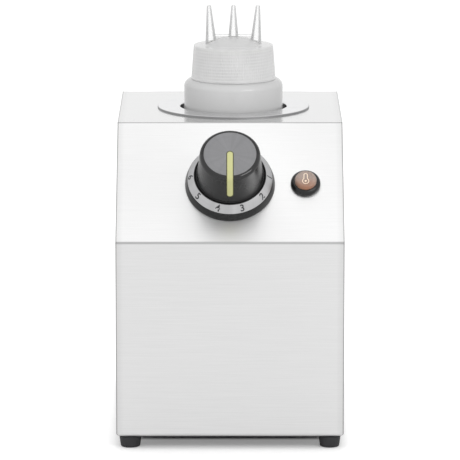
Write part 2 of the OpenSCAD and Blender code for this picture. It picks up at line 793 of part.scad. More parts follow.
module bulb_clip() color([0.70, 0.70, 0.72]) translate([well_x, bulb_y, bulb_low + (bulb_len - clip_h) / 2])
    difference() {
        union() {
            cylinder(r = bulb_r + seat_gap + clip_t, h = clip_h);
            translate([-bulb_r - clip_wing, bulb_r / 2, 0]) cube([2 * (bulb_r + clip_wing), clip_t, clip_h]);
        }
        translate([0, 0, -over]) cylinder(r = bulb_r + seat_gap, h = clip_h + 2 * over);
        translate([0, y_well - bulb_y, -over]) cylinder(r = band_r, h = clip_h + 2 * over, $fn = 96);
    }

// SWEPT WIRES AND TUBES

function unit(v) = v / norm(v);

// A smooth line through the control points p, with n steps between two of them
function smooth_line(p, n) = let (m = len(p) - 1) concat(
    [for (k = [0:m - 1]) for (j = [0:n - 1])
        let (
            t = j / n, a = p[max(k - 1, 0)], b = p[k], c = p[k + 1], d = p[min(k + 2, m)],
            t2 = t * t, t3 = t2 * t
        )
        0.5 * (2 * b + (c - a) * t + (2 * a - 5 * b + 4 * c - d) * t2 + (3 * b - a - 3 * c + d) * t3)],
    [p[m]]
);

function tangents(p) = let (m = len(p) - 1)
    [for (k = [0:m]) unit(p[min(k + 1, m)] - p[max(k - 1, 0)])];

// Side directions that turn as little as possible along the line
function sides_along(t, u, k = 0) = k >= len(t) ? [] :
    let (v = unit(u - (u * t[k]) * t[k])) concat([v], sides_along(t, v, k + 1));

module sweep(points, r, n = wire_sides) {
    t = tangents(points);
    u = sides_along(t, [0.31, 0.17, 0.93]);
    m = len(points);
    rings = [for (k = [0:m - 1]) let (v = cross(t[k], u[k])) for (j = [0:n - 1])
        points[k] + r * (cos(360 * j / n) * u[k] + sin(360 * j / n) * v)];
    walls = [for (k = [0:m - 2]) for (j = [0:n - 1]) let (
        a = k * n + j, b = k * n + (j + 1) % n, c = b + n, d = a + n
    ) each [[a, c, b], [a, d, c]]];
    start = [for (j = [1:n - 2]) [0, j, j + 1]];
    last = (m - 1) * n;
    end = [for (j = [1:n - 2]) [last, last + j + 1, last + j]];
    polyhedron(points = rings, faces = concat(walls, start, end));
}

// A point on the slope frame, as a point of the whole
function slope_point(x, y, z) = [
    x,
    y_front + (dial_up + y) * cos(slope_deg) - z * sin(slope_deg),
    z_fold + (dial_up + y) * sin(slope_deg) + z * cos(slope_deg)
];

// Ends of the wires: each stops a wire gap short of the terminal that it is crimped to
wire_gap = 0.3;
tab_mid_z = stat_tab_z + tab_t / 2;
tab_low = -stat_l / 2 - stat_tab_len;
cutout_low = pot_base - cutout_h - cutout_tab;
pole_out = band_r + band_t + pole_h;

// A point r from the well's axis, at the height and the angle of one of the heater's two terminals
function pole_point(side, r, z = 0) = [
    well_x + side * r * sin(pole_deg),
    y_well - r * cos(pole_deg),
    z_floor + band_low + pole_z + z
];

block_top = z_skirt + block_h;
block_front = block_y - block_d / 2;
block_mid = z_skirt + block_h / 2;
pole_gap = 10;

module capillary_tube() color([0.72, 0.50, 0.34]) sweep(smooth_line([
    slope_point(-stat_w / 2 + passage_len - wire_gap, 0, capillary_z),
    slope_point(-stat_w / 2 - 1, 0, capillary_z),
    slope_point(-stat_w / 2 - 10, -2, capillary_z - 2),
    [-34, y_crest - 14, bulb_low + bulb_len * 0.2],
    [-22, y_crest + 2, bulb_low + bulb_len - 22],
    [-10, y_crest + 14, bulb_low + bulb_len - 2],
    [well_x - 3, bulb_y - 4, bulb_low + bulb_len + 4],
    [well_x, bulb_y - 0.6, bulb_low + bulb_len + 4],
    [well_x, bulb_y, bulb_low + bulb_len + wire_gap]
], 4), capillary_r);

module wire_live() color([0.45, 0.26, 0.16]) sweep(smooth_line([
    [gland_x - pole_gap, block_front - wire_gap, block_mid],
    [gland_x - pole_gap, block_front - 8, block_mid],
    [gland_x - 12, block_front - 30, z_skirt + 5],
    [-66, y_well - 30, z_skirt + 4],
    [-62, y_crest - 10, z_skirt + 10],
    [-40, y_front + 42, z_skirt + 60],
    [-stat_tab_gap / 2 - 4, y_front + 26, z_fold - 24],
    slope_point(-stat_tab_gap / 2, tab_low - 8, tab_mid_z),
    slope_point(-stat_tab_gap / 2, tab_low - wire_gap, tab_mid_z)
], 3), wire_r);

module wire_switched() color([0.12, 0.12, 0.13]) sweep(smooth_line([
    slope_point(stat_tab_gap / 2, tab_low - wire_gap, tab_mid_z),
    slope_point(stat_tab_gap / 2, tab_low - 8, tab_mid_z),
    [stat_tab_gap / 2 + 2, y_front + 28, z_fold - 26],
    [12, y_front + 40, z_skirt + 70],
    [4, y_front + 66, z_skirt + 36],
    [-2, y_well - 36, z_skirt + 34],
    [well_x - cutout_tab_x, y_well - 14, cutout_low - 16],
    [well_x - cutout_tab_x, y_well - 2, cutout_low - 9],
    [well_x - cutout_tab_x, y_well, cutout_low - wire_gap]
], 3), wire_r);

module wire_heater() color([0.12, 0.12, 0.13]) sweep(smooth_line([
    [well_x + cutout_tab_x, y_well, cutout_low - wire_gap],
    [well_x + cutout_tab_x, y_well - 2, cutout_low - 9],
    [well_x + 8, y_well - 20, cutout_low - 12],
    [well_x + 18, y_well - 58, cutout_low + 8],
    pole_point(1, pole_out + 10, -22),
    pole_point(1, pole_out + 8, -3),
    pole_point(1, pole_out + 3),
    pole_point(1, pole_out + wire_gap)
], 3), wire_r);

module wire_neutral() color([0.25, 0.38, 0.62]) sweep(smooth_line([
    [gland_x, block_front - wire_gap, block_mid],
    [gland_x, block_front - 8, block_mid],
    [gland_x + 4, block_front - 34, z_skirt + 6],
    [gland_x + 10, y_well - 46, z_skirt + 10],
    [well_x - 26, y_well - 70, z_skirt + 40],
    pole_point(-1, pole_out + 12, -26),
    pole_point(-1, pole_out + 8, -3),
    pole_point(-1, pole_out + 3),
    pole_point(-1, pole_out + wire_gap)
], 3), wire_r);

module wire_earth() color([0.42, 0.58, 0.22]) sweep(smooth_line([
    [gland_x + pole_gap, block_front - wire_gap, block_mid],
    [gland_x + pole_gap, block_front - 8, block_mid],
    [gland_x + pole_gap + 8, block_front - 14, z_skirt + 8],
    [earth_x - 12, block_front - 8, z_skirt + 7],
    [earth_x - 6, earth_y - 18, z_skirt + 7],
    [earth_x, earth_y - 9, earth_ring_z],
    [earth_x, earth_y - nut_r - wire_gap, earth_ring_z]
], 3), wire_r);

lamp_deep = 24;
lamp_tab_x = 3;
lamp_tab_w = 4.8;
lamp_tab_len = 4;
lead_r = 0.75;
lead_start = -lamp_deep - lamp_tab_len - 2 * wire_gap;
lead_at_block = pole_gap / 4;

module lamp_leads() color([0.86, 0.86, 0.84]) {
    // to the thermostat's switched terminal
    sweep(smooth_line([
        slope_point(lamp_x - lamp_tab_x, 0, lead_start),
        slope_point(lamp_x - lamp_tab_x, -2, lead_start - 8),
        [lamp_x - 12, y_front + 48, z_fold - 4],
        [36, y_front + 34, z_fold - 14],
        slope_point(22, tab_low + 3, tab_mid_z),
        slope_point(stat_tab_gap / 2 + tab_w / 2 + wire_gap, tab_low + 4, tab_mid_z)
    ], 3), lead_r);
    // to the neutral pole of the terminal block
    sweep(smooth_line([
        slope_point(lamp_x + lamp_tab_x, 0, lead_start),
        slope_point(lamp_x + lamp_tab_x, -2, lead_start - 10),
        [lamp_x + 8, y_crest - 6, z_skirt + 110],
        [72, y_crest + 10, z_skirt + 50],
        [66, y_well - 30, z_skirt + 8],
        [40, y_well - 4, z_skirt + 4],
        [0, block_front - 22, z_skirt + 4],
        [gland_x + 12, block_front - 22, z_skirt + 12],
        [gland_x + lead_at_block, block_front - 8, block_mid + 1],
        [gland_x + lead_at_block, block_front - wire_gap, block_mid + 1]
    ], 3), lead_r);
}

// LAMP

lamp_round = 3.2;
lens_seat = 1.6;
lens_round = 0.8;
lens_wall = 1.4;
lens_top_t = 1.6;
lens_crown = 0.25;
lamp_bore_r = 5.5;
lamp_bore_z = -12;
lamp_nut_r = 10.6;
lamp_nut_t = 4;
neon_r = 2.6;
neon_z = 0.6;

module lamp_bezel() color([0.08, 0.08, 0.08]) on_slope(lamp_x) difference() {
    rotate_extrude() polygon(concat(
        [[0, face_gap], [lamp_r, face_gap]],
        arc([lamp_r - lamp_round, lamp_bezel_h - lamp_round], lamp_round, 0, 90, 6),
        [[0, lamp_bezel_h]]
    ));
    translate([0, 0, lens_seat]) cylinder(r = lens_r + seat_gap, h = lamp_bezel_h);
    translate([0, 0, -over]) cylinder(r = lamp_neck_r + seat_gap, h = lamp_bezel_h);
}

module lamp_lens() color([0.80, 0.58, 0.48, 0.8]) on_slope(lamp_x) difference() {
    rotate_extrude() polygon(concat(
        [[0, lens_seat], [lens_r, lens_seat]],
        arc([lens_r - lens_round, lens_h - lens_crown - lens_round], lens_round, 0, 90, 4),
        [[lens_r / 2, lens_h - lens_crown / 3], [0, lens_h]]
    ));
    translate([0, 0, lens_seat - over])
        cylinder(r = lens_r - lens_wall, h = lens_h - lens_top_t - lens_seat + over);
}

module lamp_body() color([0.88, 0.88, 0.86]) on_slope(lamp_x) {
    difference() {
        translate([0, 0, -lamp_deep]) cylinder(r = lamp_neck_r, h = lamp_deep + lens_seat - seat_gap);
        translate([0, 0, lamp_bore_z]) cylinder(r = lamp_bore_r, h = lens_seat - lamp_bore_z + over);
    }
    for (side = [-1, 1])
        translate([side * lamp_tab_x - tab_t / 2, -lamp_tab_w / 2, -lamp_deep - lamp_tab_len])
            cube([tab_t, lamp_tab_w, lamp_tab_len + weld]);
}

module lamp_nut() color([0.30, 0.30, 0.30]) on_slope(lamp_x)
    translate([0, 0, -sheet_t - lamp_nut_t]) tube(lamp_nut_r, lamp_neck_r + seat_gap, lamp_nut_t);

module lamp_neon() color([0.95, 0.70, 0.45]) on_slope(lamp_x) rotate_extrude() polygon(concat(
    [[0, lamp_bore_z + face_gap], [neon_r, lamp_bore_z + face_gap]],
    arc([0, neon_z], neon_r, 0, 90)
));

// SUPPLY

notch_w = 1.2;
notch_floor = 6;
clamp_pit_r = 2.7;
clamp_screw_r = 2.4;
clamp_screw_t = 2;
clamp_deep = 3;
clamp_y = 5;
pocket_r = 1.9;
pocket_deep = 5;

module terminal_block() color([0.90, 0.89, 0.85]) difference() {
    translate([gland_x - block_l / 2, block_front, z_skirt]) cube([block_l, block_d, block_h]);
    // deep notches between the three poles
    for (side = [-1, 1])
        translate([gland_x + (side * pole_gap - notch_w) / 2, block_front - over, z_skirt + notch_floor])
            cube([notch_w, block_d + 2 * over, block_h]);
    // clamp screw pits
    for (p = [-1:1]) for (q = [-1, 1])
        translate([gland_x + p * pole_gap, block_y + q * clamp_y, block_top - clamp_deep])
            cylinder(r = clamp_pit_r, h = clamp_deep + over);
    // cable pockets towards the gland
    for (p = [-1:1]) translate([gland_x + p * pole_gap, block_y + block_d / 2 + over, block_mid])
        rotate([90, 0, 0]) cylinder(r = pocket_r, h = pocket_deep + over);
}

module terminal_screws() color([0.78, 0.70, 0.42]) for (p = [-1:1]) for (q = [-1, 1])
    translate([gland_x + p * pole_gap, block_y + q * clamp_y, block_top - clamp_deep]) difference() {
        cylinder(r = clamp_screw_r, h = clamp_screw_t);
        translate([-clamp_screw_r - over, -tab_t / 2, clamp_screw_t - tab_t])
            cube([2 * (clamp_screw_r + over), tab_t, 2 * tab_t]);
    }

gland_hex_r = 10;
gland_hex_t = 5;
gland_barrel_r = 7.2;
gland_inside = 9;
gland_nut_r = 9.6;
gland_nut_t = 7.2;
gland_cap_r = 8.3;
gland_round = 3.5;
gland_skin = 4;
locknut_r = 9;
locknut_t = 5;

module at_gland() {
    translate([gland_x, y_rear, gland_z]) rotate([-90, 0, 0]) children();
}

module cable_gland() color([0.12, 0.12, 0.13]) at_gland() difference() {
    union() {
        translate([0, 0, -sheet_t - gland_inside])
            cylinder(r = gland_thread_r, h = sheet_t + gland_inside + weld);
        cylinder(r = gland_hex_r, h = gland_hex_t, $fn = 6);
        cylinder(r = gland_barrel_r, h = gland_len - gland_skin);
    }
    translate([0, 0, -sheet_t - gland_inside - over])
        cylinder(r = gland_bore, h = sheet_t + gland_inside + gland_len + 2 * over);
}

module gland_nut() color([0.12, 0.12, 0.13]) at_gland() difference() {
    union() {
        translate([0, 0, gland_hex_t + wire_gap]) cylinder(r = gland_nut_r, h = gland_nut_t, $fn = 6);
        rotate_extrude() polygon(concat(
            [[0, gland_hex_t + wire_gap], [gland_cap_r, gland_hex_t + wire_gap]],
            [[gland_cap_r, gland_len - gland_round]],
            arc([gland_cap_r - gland_round, gland_len - gland_round], gland_round, 0, 90, 5),
            [[0, gland_len]]
        ));
    }
    translate([0, 0, gland_hex_t])
        cylinder(r = gland_barrel_r + seat_gap, h = gland_len - gland_skin - gland_hex_t + seat_gap);
    cylinder(r = gland_bore, h = gland_len + over);
}

module gland_locknut() color([0.15, 0.15, 0.16]) at_gland() translate([0, 0, -sheet_t - locknut_t])
    hex_nut(locknut_r, locknut_t, gland_thread_r + seat_gap);

earth_ring_t = 3;
earth_ring_z = z_skirt + nut_t + earth_ring_t / 2;
earth_screw_len = sheet_t + 2 * nut_t + earth_ring_t + 2 * thread_past;

// The bonding screw with its nut, the wire's ring and a second nut, pressed into one piece
module earth_stud() color([0.74, 0.66, 0.40]) translate([earth_x, earth_y, 0]) {
    translate([0, 0, z_skirt - sheet_t]) mirror([0, 0, 1])
        pan_screw(screw_r, head_r, head_h, earth_screw_len);
    translate([0, 0, z_skirt]) hex_nut(nut_r, nut_t, screw_r);
    translate([0, 0, z_skirt + nut_t]) tube(nut_r, screw_r, earth_ring_t);
    translate([0, 0, z_skirt + nut_t + earth_ring_t]) hex_nut(nut_r, nut_t, screw_r);
}

// BOTTLE

shoulder_z = z_top + shoulder_up;
cap_low = shoulder_z + cap_gap;
cap_flat = cap_low + cap_h;
cap_inside = cap_flat - cap_t;
liner_t = 1.2;
neck_t = 2.4;
neck_bore = neck_r - neck_t;
neck_top = cap_inside - seat_gap - liner_t - run_gap;
neck_edge = 0.4;
neck_foot = 1.2;
shoulder_deg = 80;
heel_r = 3.5;
push_up = 1.2;
stand_w = 3.5;
thread_low = cap_low + 4.8;
thread_turns = 1.5;
cap_turns = 1;
segments = 24;
ridge_root = 1.1;
ridge_crest = 0.55;
ridge_sink = 0.6;

// A helical ridge of trapezoid section from radius r0 (wide side) to r1 (crest), around the Z axis
module ridge(r0, r1, z0, turns) {
    n = round(turns * segments);
    rings = [for (k = [0:n]) let (
        a = 360 * k / segments, z = z0 + thread_pitch * k / segments,
        fade = min(1, k / 2, (n - k) / 2), rc = r0 + (r1 - r0) * max(fade, 0.35)
    ) each [
        [r0 * cos(a), r0 * sin(a), z - ridge_root], [rc * cos(a), rc * sin(a), z - ridge_crest],
        [rc * cos(a), rc * sin(a), z + ridge_crest], [r0 * cos(a), r0 * sin(a), z + ridge_root]
    ]];
    walls = [for (k = [0:n - 1]) for (j = [0:3]) let (
        a = 4 * k + j, b = 4 * k + (j + 1) % 4, c = b + 4, d = a + 4
    ) each (r1 > r0 ? [[a, b, c], [a, c, d]] : [[a, c, b], [a, d, c]])];
    first = r1 > r0 ? [[0, 2, 1], [0, 3, 2]] : [[0, 1, 2], [0, 2, 3]];
    e = 4 * n;
    last = r1 > r0 ? [[e, e + 1, e + 2], [e, e + 2, e + 3]] : [[e, e + 2, e + 1], [e, e + 3, e + 2]];
    polyhedron(points = rings, faces = concat(walls, first, last));
}

// Half outline of the bottle's wall from the heel to the shoulder, a depth d inside
function bottle_side(d) = concat(
    arc([bottle_r - heel_r, z_floor + heel_r], heel_r - d, -90, 0),
    arc([bottle_r - shoulder_r, shoulder_z - shoulder_r], shoulder_r - d, 0, shoulder_deg, 8)
);

module bottle() color([0.86, 0.86, 0.84, 0.75]) at_well() {
    rotate_extrude($fn = 96) polygon(concat(
        [[0, z_floor + push_up], [bottle_r - heel_r - stand_w - push_up, z_floor + push_up]],
        [[bottle_r - heel_r - stand_w, z_floor]],
        bottle_side(0),
        [[neck_r + neck_foot, shoulder_z], [neck_r, shoulder_z + neck_foot]],
        [[neck_r, neck_top - neck_edge], [neck_r - neck_edge, neck_top], [neck_bore, neck_top]],
        [[neck_bore, shoulder_z - bottle_t]],
        reversed(bottle_side(bottle_t)),
        [[bottle_r - heel_r - stand_w, z_floor + bottle_t]],
        [[bottle_r - heel_r - stand_w - push_up, z_floor + push_up + bottle_t]],
        [[0, z_floor + push_up + bottle_t]]
    ));
    ridge(neck_r - ridge_sink, neck_r + thread_h, thread_low, thread_turns);
}

thread_gap = 0.7;
cap_in_r = neck_r + thread_h + thread_gap;
cap_lip = 0.3;
cap_lip_h = 1.1;
cap_round = 0.9;
dome_ball = (dome_r * dome_r + dome_h * dome_h) / (2 * dome_h);
dome_in = dome_ball - cap_t;
dome_edge = acos((dome_ball - dome_h) / dome_ball);
dome_mid = cap_flat + dome_h - dome_ball;
dome_in_edge = acos((cap_inside - dome_mid) / dome_in);
web_t = 1.6;
web_up = 0.7;
nozzle_root = nozzle_gap - nozzle_lean;
nozzle_deg = atan2(nozzle_lean, nozzle_h);
nozzle_wall = 1.1;

// Places a child at the root of each nozzle, along the nozzle's axis
module at_nozzles() {
    for (k = [-1:1]) translate([k * nozzle_root, 0, cap_flat]) rotate([0, k * nozzle_deg, 0]) children();
}

module bottle_cap() color([0.90, 0.90, 0.88, 0.8]) at_well() {
    difference() {
        union() {
            rotate_extrude($fn = 96) polygon(concat(
                [[0, cap_low], [cap_r_low + cap_lip, cap_low], [cap_r_low + cap_lip, cap_low + cap_lip_h]],
                [[cap_r_low, cap_low + cap_lip_h + cap_lip]],
                arc([cap_r_top - cap_round, cap_flat - cap_round], cap_round, 0, 90, 4),
                arc([0, dome_mid], dome_ball, 90 - dome_edge, 90, 8)
            ));
            // the web that ties the nozzles together
            translate([-nozzle_root, -web_t / 2, cap_flat - weld])
                cube([2 * nozzle_root, web_t, dome_h + web_up + weld]);
            at_nozzles() {
                cylinder(r1 = nozzle_r_low, r2 = nozzle_r_tip, h = nozzle_h);
                translate([0, 0, -weld]) cylinder(r = nozzle_r_low, h = weld);
            }
        }
        // inside of the skirt and of the dome
        translate([0, 0, cap_low - over]) cylinder(r = cap_in_r, h = cap_inside - cap_low + over, $fn = 96);
        rotate_extrude($fn = 96) polygon(concat(
            [[0, cap_inside - over], [dome_in * sin(dome_in_edge), cap_inside - over]],
            arc([0, dome_mid], dome_in, 90 - dome_in_edge, 90, 8)
        ));
        at_nozzles() {
            cylinder(r1 = nozzle_r_low - nozzle_wall, r2 = nozzle_bore, h = nozzle_h);
            translate([0, 0, -cap_t - over]) cylinder(r = nozzle_r_low - nozzle_wall, h = cap_t + over);
            translate([0, 0, nozzle_h - over]) cylinder(r = nozzle_bore, h = 2 * over);
        }
    }
    ridge(cap_in_r + ridge_sink, cap_in_r - thread_h, thread_low + thread_pitch / 2, cap_turns);
}

liner_edge = 0.5;
liner_in = 1.6;

module cap_liner() color([0.93, 0.92, 0.88]) at_well(cap_inside - liner_t - seat_gap)
    tube(cap_in_r - liner_edge, neck_bore - liner_in, liner_t);

housing_wrap();
side_panel_left();
side_panel_right();
back_panel();
base_plate();
feet();
foot_screws();
foot_nuts();
base_screws();
back_screws();
well_pot();
well_nuts();
heater_band();
heater_clamp();
insulation_sleeve();
insulation_straps();
thermal_cutout();
cutout_bracket();
cutout_nuts();
thermostat_body();
thermostat_plate();
thermostat_screws();
capillary_tube();
sensing_bulb();
bulb_clip();
dial_bezel();
dial_band();
thermostat_spindle();
knob();
pointer_insert();
knob_spring();
lamp_bezel();
lamp_lens();
lamp_body();
lamp_nut();
lamp_neon();
terminal_block();
terminal_screws();
cable_gland();
gland_nut();
gland_locknut();
earth_stud();
wire_live();
wire_switched();
wire_heater();
wire_neutral();
wire_earth();
lamp_leads();
bottle();
cap_liner();
bottle_cap();
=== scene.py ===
"""A counter-top warmer for one bottle of hot fudge topping, dressed for its studio picture.

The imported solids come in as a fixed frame. Every solid gets its finish here. The dial, the knob, the pilot
lamp, the bottle and its cap need a finer form than the solids have, so they are built here as well.
"""

import logging
import math
from collections.abc import Iterable, Mapping, Sequence
from dataclasses import dataclass
from enum import Enum
from itertools import accumulate

import bmesh
import bpy
from mathutils import Matrix, Vector


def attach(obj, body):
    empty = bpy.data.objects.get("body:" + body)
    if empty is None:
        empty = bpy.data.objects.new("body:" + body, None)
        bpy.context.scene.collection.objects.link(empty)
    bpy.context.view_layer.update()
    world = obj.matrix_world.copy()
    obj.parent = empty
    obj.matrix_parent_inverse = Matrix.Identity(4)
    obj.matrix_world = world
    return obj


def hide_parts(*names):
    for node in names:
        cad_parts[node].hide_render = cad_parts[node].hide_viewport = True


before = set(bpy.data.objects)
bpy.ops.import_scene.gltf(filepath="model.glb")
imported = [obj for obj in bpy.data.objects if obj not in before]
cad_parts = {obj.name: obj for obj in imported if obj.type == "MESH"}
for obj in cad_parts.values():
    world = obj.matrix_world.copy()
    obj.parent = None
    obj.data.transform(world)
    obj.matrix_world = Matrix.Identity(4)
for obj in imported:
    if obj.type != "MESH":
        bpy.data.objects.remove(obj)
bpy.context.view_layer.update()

log = logging.getLogger("warmer")

MM = 0.001

Point = tuple[float, float]
Triple = tuple[float, float, float]
Colour = Triple
Node = bpy.types.Node
Socket = bpy.types.NodeSocket
Source = Socket | float | tuple[float, ...]
Work = bmesh.types.BMesh
Vertex = bmesh.types.BMVert


def screen(red: float, green: float, blue: float) -> Colour:
    """Turns screen values from 0 to 255 into the linear colour that a shader takes.

    Args:
        red: Red on the screen.
        green: Green on the screen.
        blue: Blue on the screen.

    Returns:
        The linear colour.
    """

    def linear(level: float) -> float:
        """Linear light of one screen value."""
        share = level / 255
        return share / 12.92 if share <= 0.04045 else ((share + 0.055) / 1.055) ** 2.4

    return linear(red), linear(green), linear(blue)


def shade(colour: Colour, factor: float) -> Colour:
    """A colour made lighter or darker by a factor, at most 1 in each part."""
    return tuple(min(part * factor, 1.0) for part in colour)


# SHADER TREES


class Sheet:
    """One shader tree, with short calls that place nodes and join their sockets."""

    def __init__(self, tree: bpy.types.NodeTree) -> None:
        """Takes a tree and empties it."""
        self.tree = tree
        self.tree.nodes.clear()

    def put(self, kind: str, *values: Source, **settings: object) -> Node:
        """Places a node.

        Args:
            kind: Blender's name of the node type.
            *values: What goes into its first inputs.
            **settings: Properties of the node.

        Returns:
            The new node.
        """
        node = self.tree.nodes.new(kind)
        for name, value in settings.items():
            setattr(node, name, value)
        for socket, value in zip(node.inputs, values):
            self.feed(socket, value)
        return node

    def feed(self, socket: Socket, value: Source) -> None:
        """Joins an input to another socket, or sets its number or colour.

        Args:
            socket: The input.
            value: An output socket, a number, a vector or a colour.
        """
        if isinstance(value, bpy.types.NodeSocket):
            self.tree.links.new(value, socket)
        elif isinstance(value, tuple) and len(value) == 3 and socket.type == "RGBA":
            socket.default_value = (*value, 1.0)
        else:
            socket.default_value = value

    def fill(self, node: Node, values: Mapping[str, Source]) -> None:
        """Feeds several inputs of a node by their names."""
        for name, value in values.items():
            self.feed(node.inputs[name], value)

    def sum(self, operation: str, *values: Source) -> Socket:
        """One number, worked out from others."""
        return self.put("ShaderNodeMath", *values, operation=operation).outputs[0]

    def times(self, first: Source, second: Source) -> Socket:
        """The product of two numbers."""
        return self.sum("MULTIPLY", first, second)

    def minus(self, first: Source, second: Source) -> Socket:
        """The first number less the second."""
        return self.sum("SUBTRACT", first, second)

    def larger(self, first: Source, second: Source) -> Socket:
        """The larger of two numbers."""
        return self.sum("MAXIMUM", first, second)

    def vector(self, operation: str, *values: Source) -> Socket:
        """One vector, worked out from others, or the length of one."""
        node = self.put("ShaderNodeVectorMath", *values, operation=operation)
        return node.outputs["Value" if operation in ("LENGTH", "DOT_PRODUCT") else "Vector"]

    def parts(self, place: Socket) -> Sequence[Socket]:
        """The sockets with X, Y and Z of a place."""
        return self.put("ShaderNodeSeparateXYZ", place).outputs

    def span(self, value: Source, low: float, high: float, to_low: float, to_high: float) -> Socket:
        """Maps the numbers from low to high to another range, and holds it at both ends."""
        return self.put("ShaderNodeMapRange", value, low, high, to_low, to_high, clamp=True).outputs["Result"]

    def zone(self, length: Source, low: float, high: float, to_low: float, to_high: float) -> Socket:
        """Maps a length as span does, with low and high in millimetres."""
        return self.span(length, low * MM, high * MM, to_low, to_high)

    def between(self, share: Source, to_low: float, to_high: float) -> Socket:
        """Maps a share from 0 to 1 to a range."""
        return self.span(share, 0.0, 1.0, to_low, to_high)

    def firm(self, cloudy: Source, margin: float) -> Socket:
        """Stretches a cloudy number to the range from 0 to 1, after a margin is cut off both its ends."""
        return self.span(cloudy, margin, 1 - margin, 0.0, 1.0)

    def noise(self, place: Source, scale: Source, detail: float = 2.0) -> Socket:
        """A cloudy number between 0 and 1, read at a place, with finer layers added."""
        return self.put("ShaderNodeTexNoise", place, 0.0, scale, detail).outputs["Fac"]

    def blend(self, share: Source, first: Source, second: Source) -> Socket:
        """Mixes two colours.

        Args:
            share: Share of the second colour.
            first: First colour.
            second: Second colour.

        Returns:
            The socket with the mixed colour.
        """
        node = self.put("ShaderNodeMix", share, data_type="RGBA")
        self.feed(node.inputs[6], first)
        self.feed(node.inputs[7], second)
        return node.outputs[2]

    def relief(self, height: Source, depth: float) -> Socket:
        """Turns a height between 0 and 1 into a normal.

        Args:
            height: The height.
            depth: Depth of the relief in millimetres.

        Returns:
            The socket with the normal.
        """
        node = self.put("ShaderNodeBump")
        self.fill(node, {"Distance": depth * MM, "Height": height})
        return node.outputs["Normal"]

    def own_place(self) -> Socket:
        """The socket with the place on the object, in metres."""
        return self.put("ShaderNodeTexCoord").outputs["Object"]


class Effect:
    """A shader node group that several finishes share."""

    name = "effect"
    takes: tuple[str, ...] = ()
    gives: tuple[str, ...] = ()
    vectors = ("Place", "Stretch")

    def wire(self, sheet: Sheet, given: Mapping[str, Socket]) -> tuple[Socket, ...]:
        """Lays out the inside of the group.

        Args:
            sheet: The group's own tree.
            given: The group's inputs.

        Returns:
            The sockets of its outputs, in order.
        """
        raise NotImplementedError

    def tree(self) -> bpy.types.NodeTree:
        """Builds the group, or finds the one that was built before.

        Returns:
            The group.
        """
        known = bpy.data.node_groups.get(self.name)
        if known is not None:
            return known
        tree = bpy.data.node_groups.new(self.name, "ShaderNodeTree")
        for name in self.takes:
            kind = "NodeSocketVector" if name in self.vectors else "NodeSocketFloat"
            tree.interface.new_socket(name=name, in_out="INPUT", socket_type=kind)
        for name in self.gives:
            tree.interface.new_socket(name=name, in_out="OUTPUT", socket_type="NodeSocketFloat")
        sheet = Sheet(tree)
        sheet.put("NodeGroupOutput", *self.wire(sheet, sheet.put("NodeGroupInput").outputs))
        return tree

    def place(self, sheet: Sheet, *values: Source) -> Mapping[str, Socket]:
        """Puts the group in a material's tree, and hands over its outputs by name."""
        return sheet.put("ShaderNodeGroup", *values, node_tree=self.tree()).outputs


class BrushedGrain(Effect):
    """Long fine scratches with faint cloudy smears over them."""

    name = "brushed_grain"
    takes = ("Place", "Stretch")
    gives = ("Scratches", "Smears")

    def wire(self, sheet: Sheet, given: Mapping[str, Socket]) -> tuple[Socket, ...]:
        """Reads one noise along the stretched place, and a broad one along the plain place.

        Args:
            sheet: The group's own tree.
            given: The group's inputs.

        Returns:
            The sockets with the scratches and the smears.
        """
        stretched = sheet.vector("MULTIPLY", given["Place"], given["Stretch"])
        scratches = sheet.firm(sheet.noise(stretched, 1.0, 3.0), 0.25)
        return scratches, sheet.firm(sheet.noise(given["Place"], 9.0, 0.0), 0.2)


class TurnedRings(Effect):
    """Fine rings round the local Z axis, as a lathe or a polishing wheel leaves them."""

    name = "turned_rings"
    takes = ("Place", "Density")
    gives = ("Rings", "Streaks")
    waver = 0.6
    fan = 3.0

    def wire(self, sheet: Sheet, given: Mapping[str, Socket]) -> tuple[Socket, ...]:
        """Reads a noise that depends on the radius and height, and one that turns slowly round.

        Args:
            sheet: The group's own tree.
            given: The group's inputs.

        Returns:
            The sockets with the rings and the streaks.
        """
        x, y, z = sheet.parts(given["Place"])
        radius = sheet.vector("LENGTH", sheet.vector("MULTIPLY", given["Place"], (1.0, 1.0, 0.0)))
        angle = sheet.sum("ARCTAN2", y, x)
        across, along = sheet.sum("COSINE", angle), sheet.sum("SINE", angle)
        ring_place = sheet.put(
            "ShaderNodeCombineXYZ",
            sheet.times(radius, given["Density"]),
            sheet.times(z, given["Density"]),
            sheet.times(across, self.waver),
        )
        fan_place = sheet.put(
            "ShaderNodeCombineXYZ",
            sheet.times(across, self.fan),
            sheet.times(along, self.fan),
        )
        rings = sheet.firm(sheet.noise(ring_place.outputs[0], 1.0), 0.25)
        return rings, sheet.firm(sheet.noise(fan_place.outputs[0], 1.3), 0.3)


class MouldedSkin(Effect):
    """The faint pebble of a mould and the slow cloudiness of its plastic."""

    name = "moulded_skin"
    takes = ("Place", "Pebble", "Cloud")
    gives = ("Height", "Clouds")

    def wire(self, sheet: Sheet, given: Mapping[str, Socket]) -> tuple[Socket, ...]:
        """Reads a fine noise for the relief and a broad one for the colour."""
        height = sheet.noise(given["Place"], given["Pebble"])
        return height, sheet.firm(sheet.noise(given["Place"], given["Cloud"], 3.0), 0.3)


class EdgeTone(Effect):
    """A mask that is 1 along outer and inner edges: it places rubbed wear on mouldings and painted shade
    along sheet-metal edges.
    """

    name = "edge_tone"
    takes = ("Width",)
    gives = ("Edges",)

    def wire(self, sheet: Sheet, given: Mapping[str, Socket]) -> tuple[Socket, ...]:
        """Compares the surface's normal with the one it would have with rounded edges.

        Args:
            sheet: The group's own tree.
            given: The group's inputs.

        Returns:
            The socket with the mask.
        """
        rounded = sheet.put("ShaderNodeBevel", given["Width"], samples=4)
        plain = sheet.put("ShaderNodeNewGeometry")
        alike = sheet.vector("DOT_PRODUCT", rounded.outputs["Normal"], plain.outputs["Normal"])
        return (sheet.span(alike, 0.98, 0.75, 0.0, 1.0),)


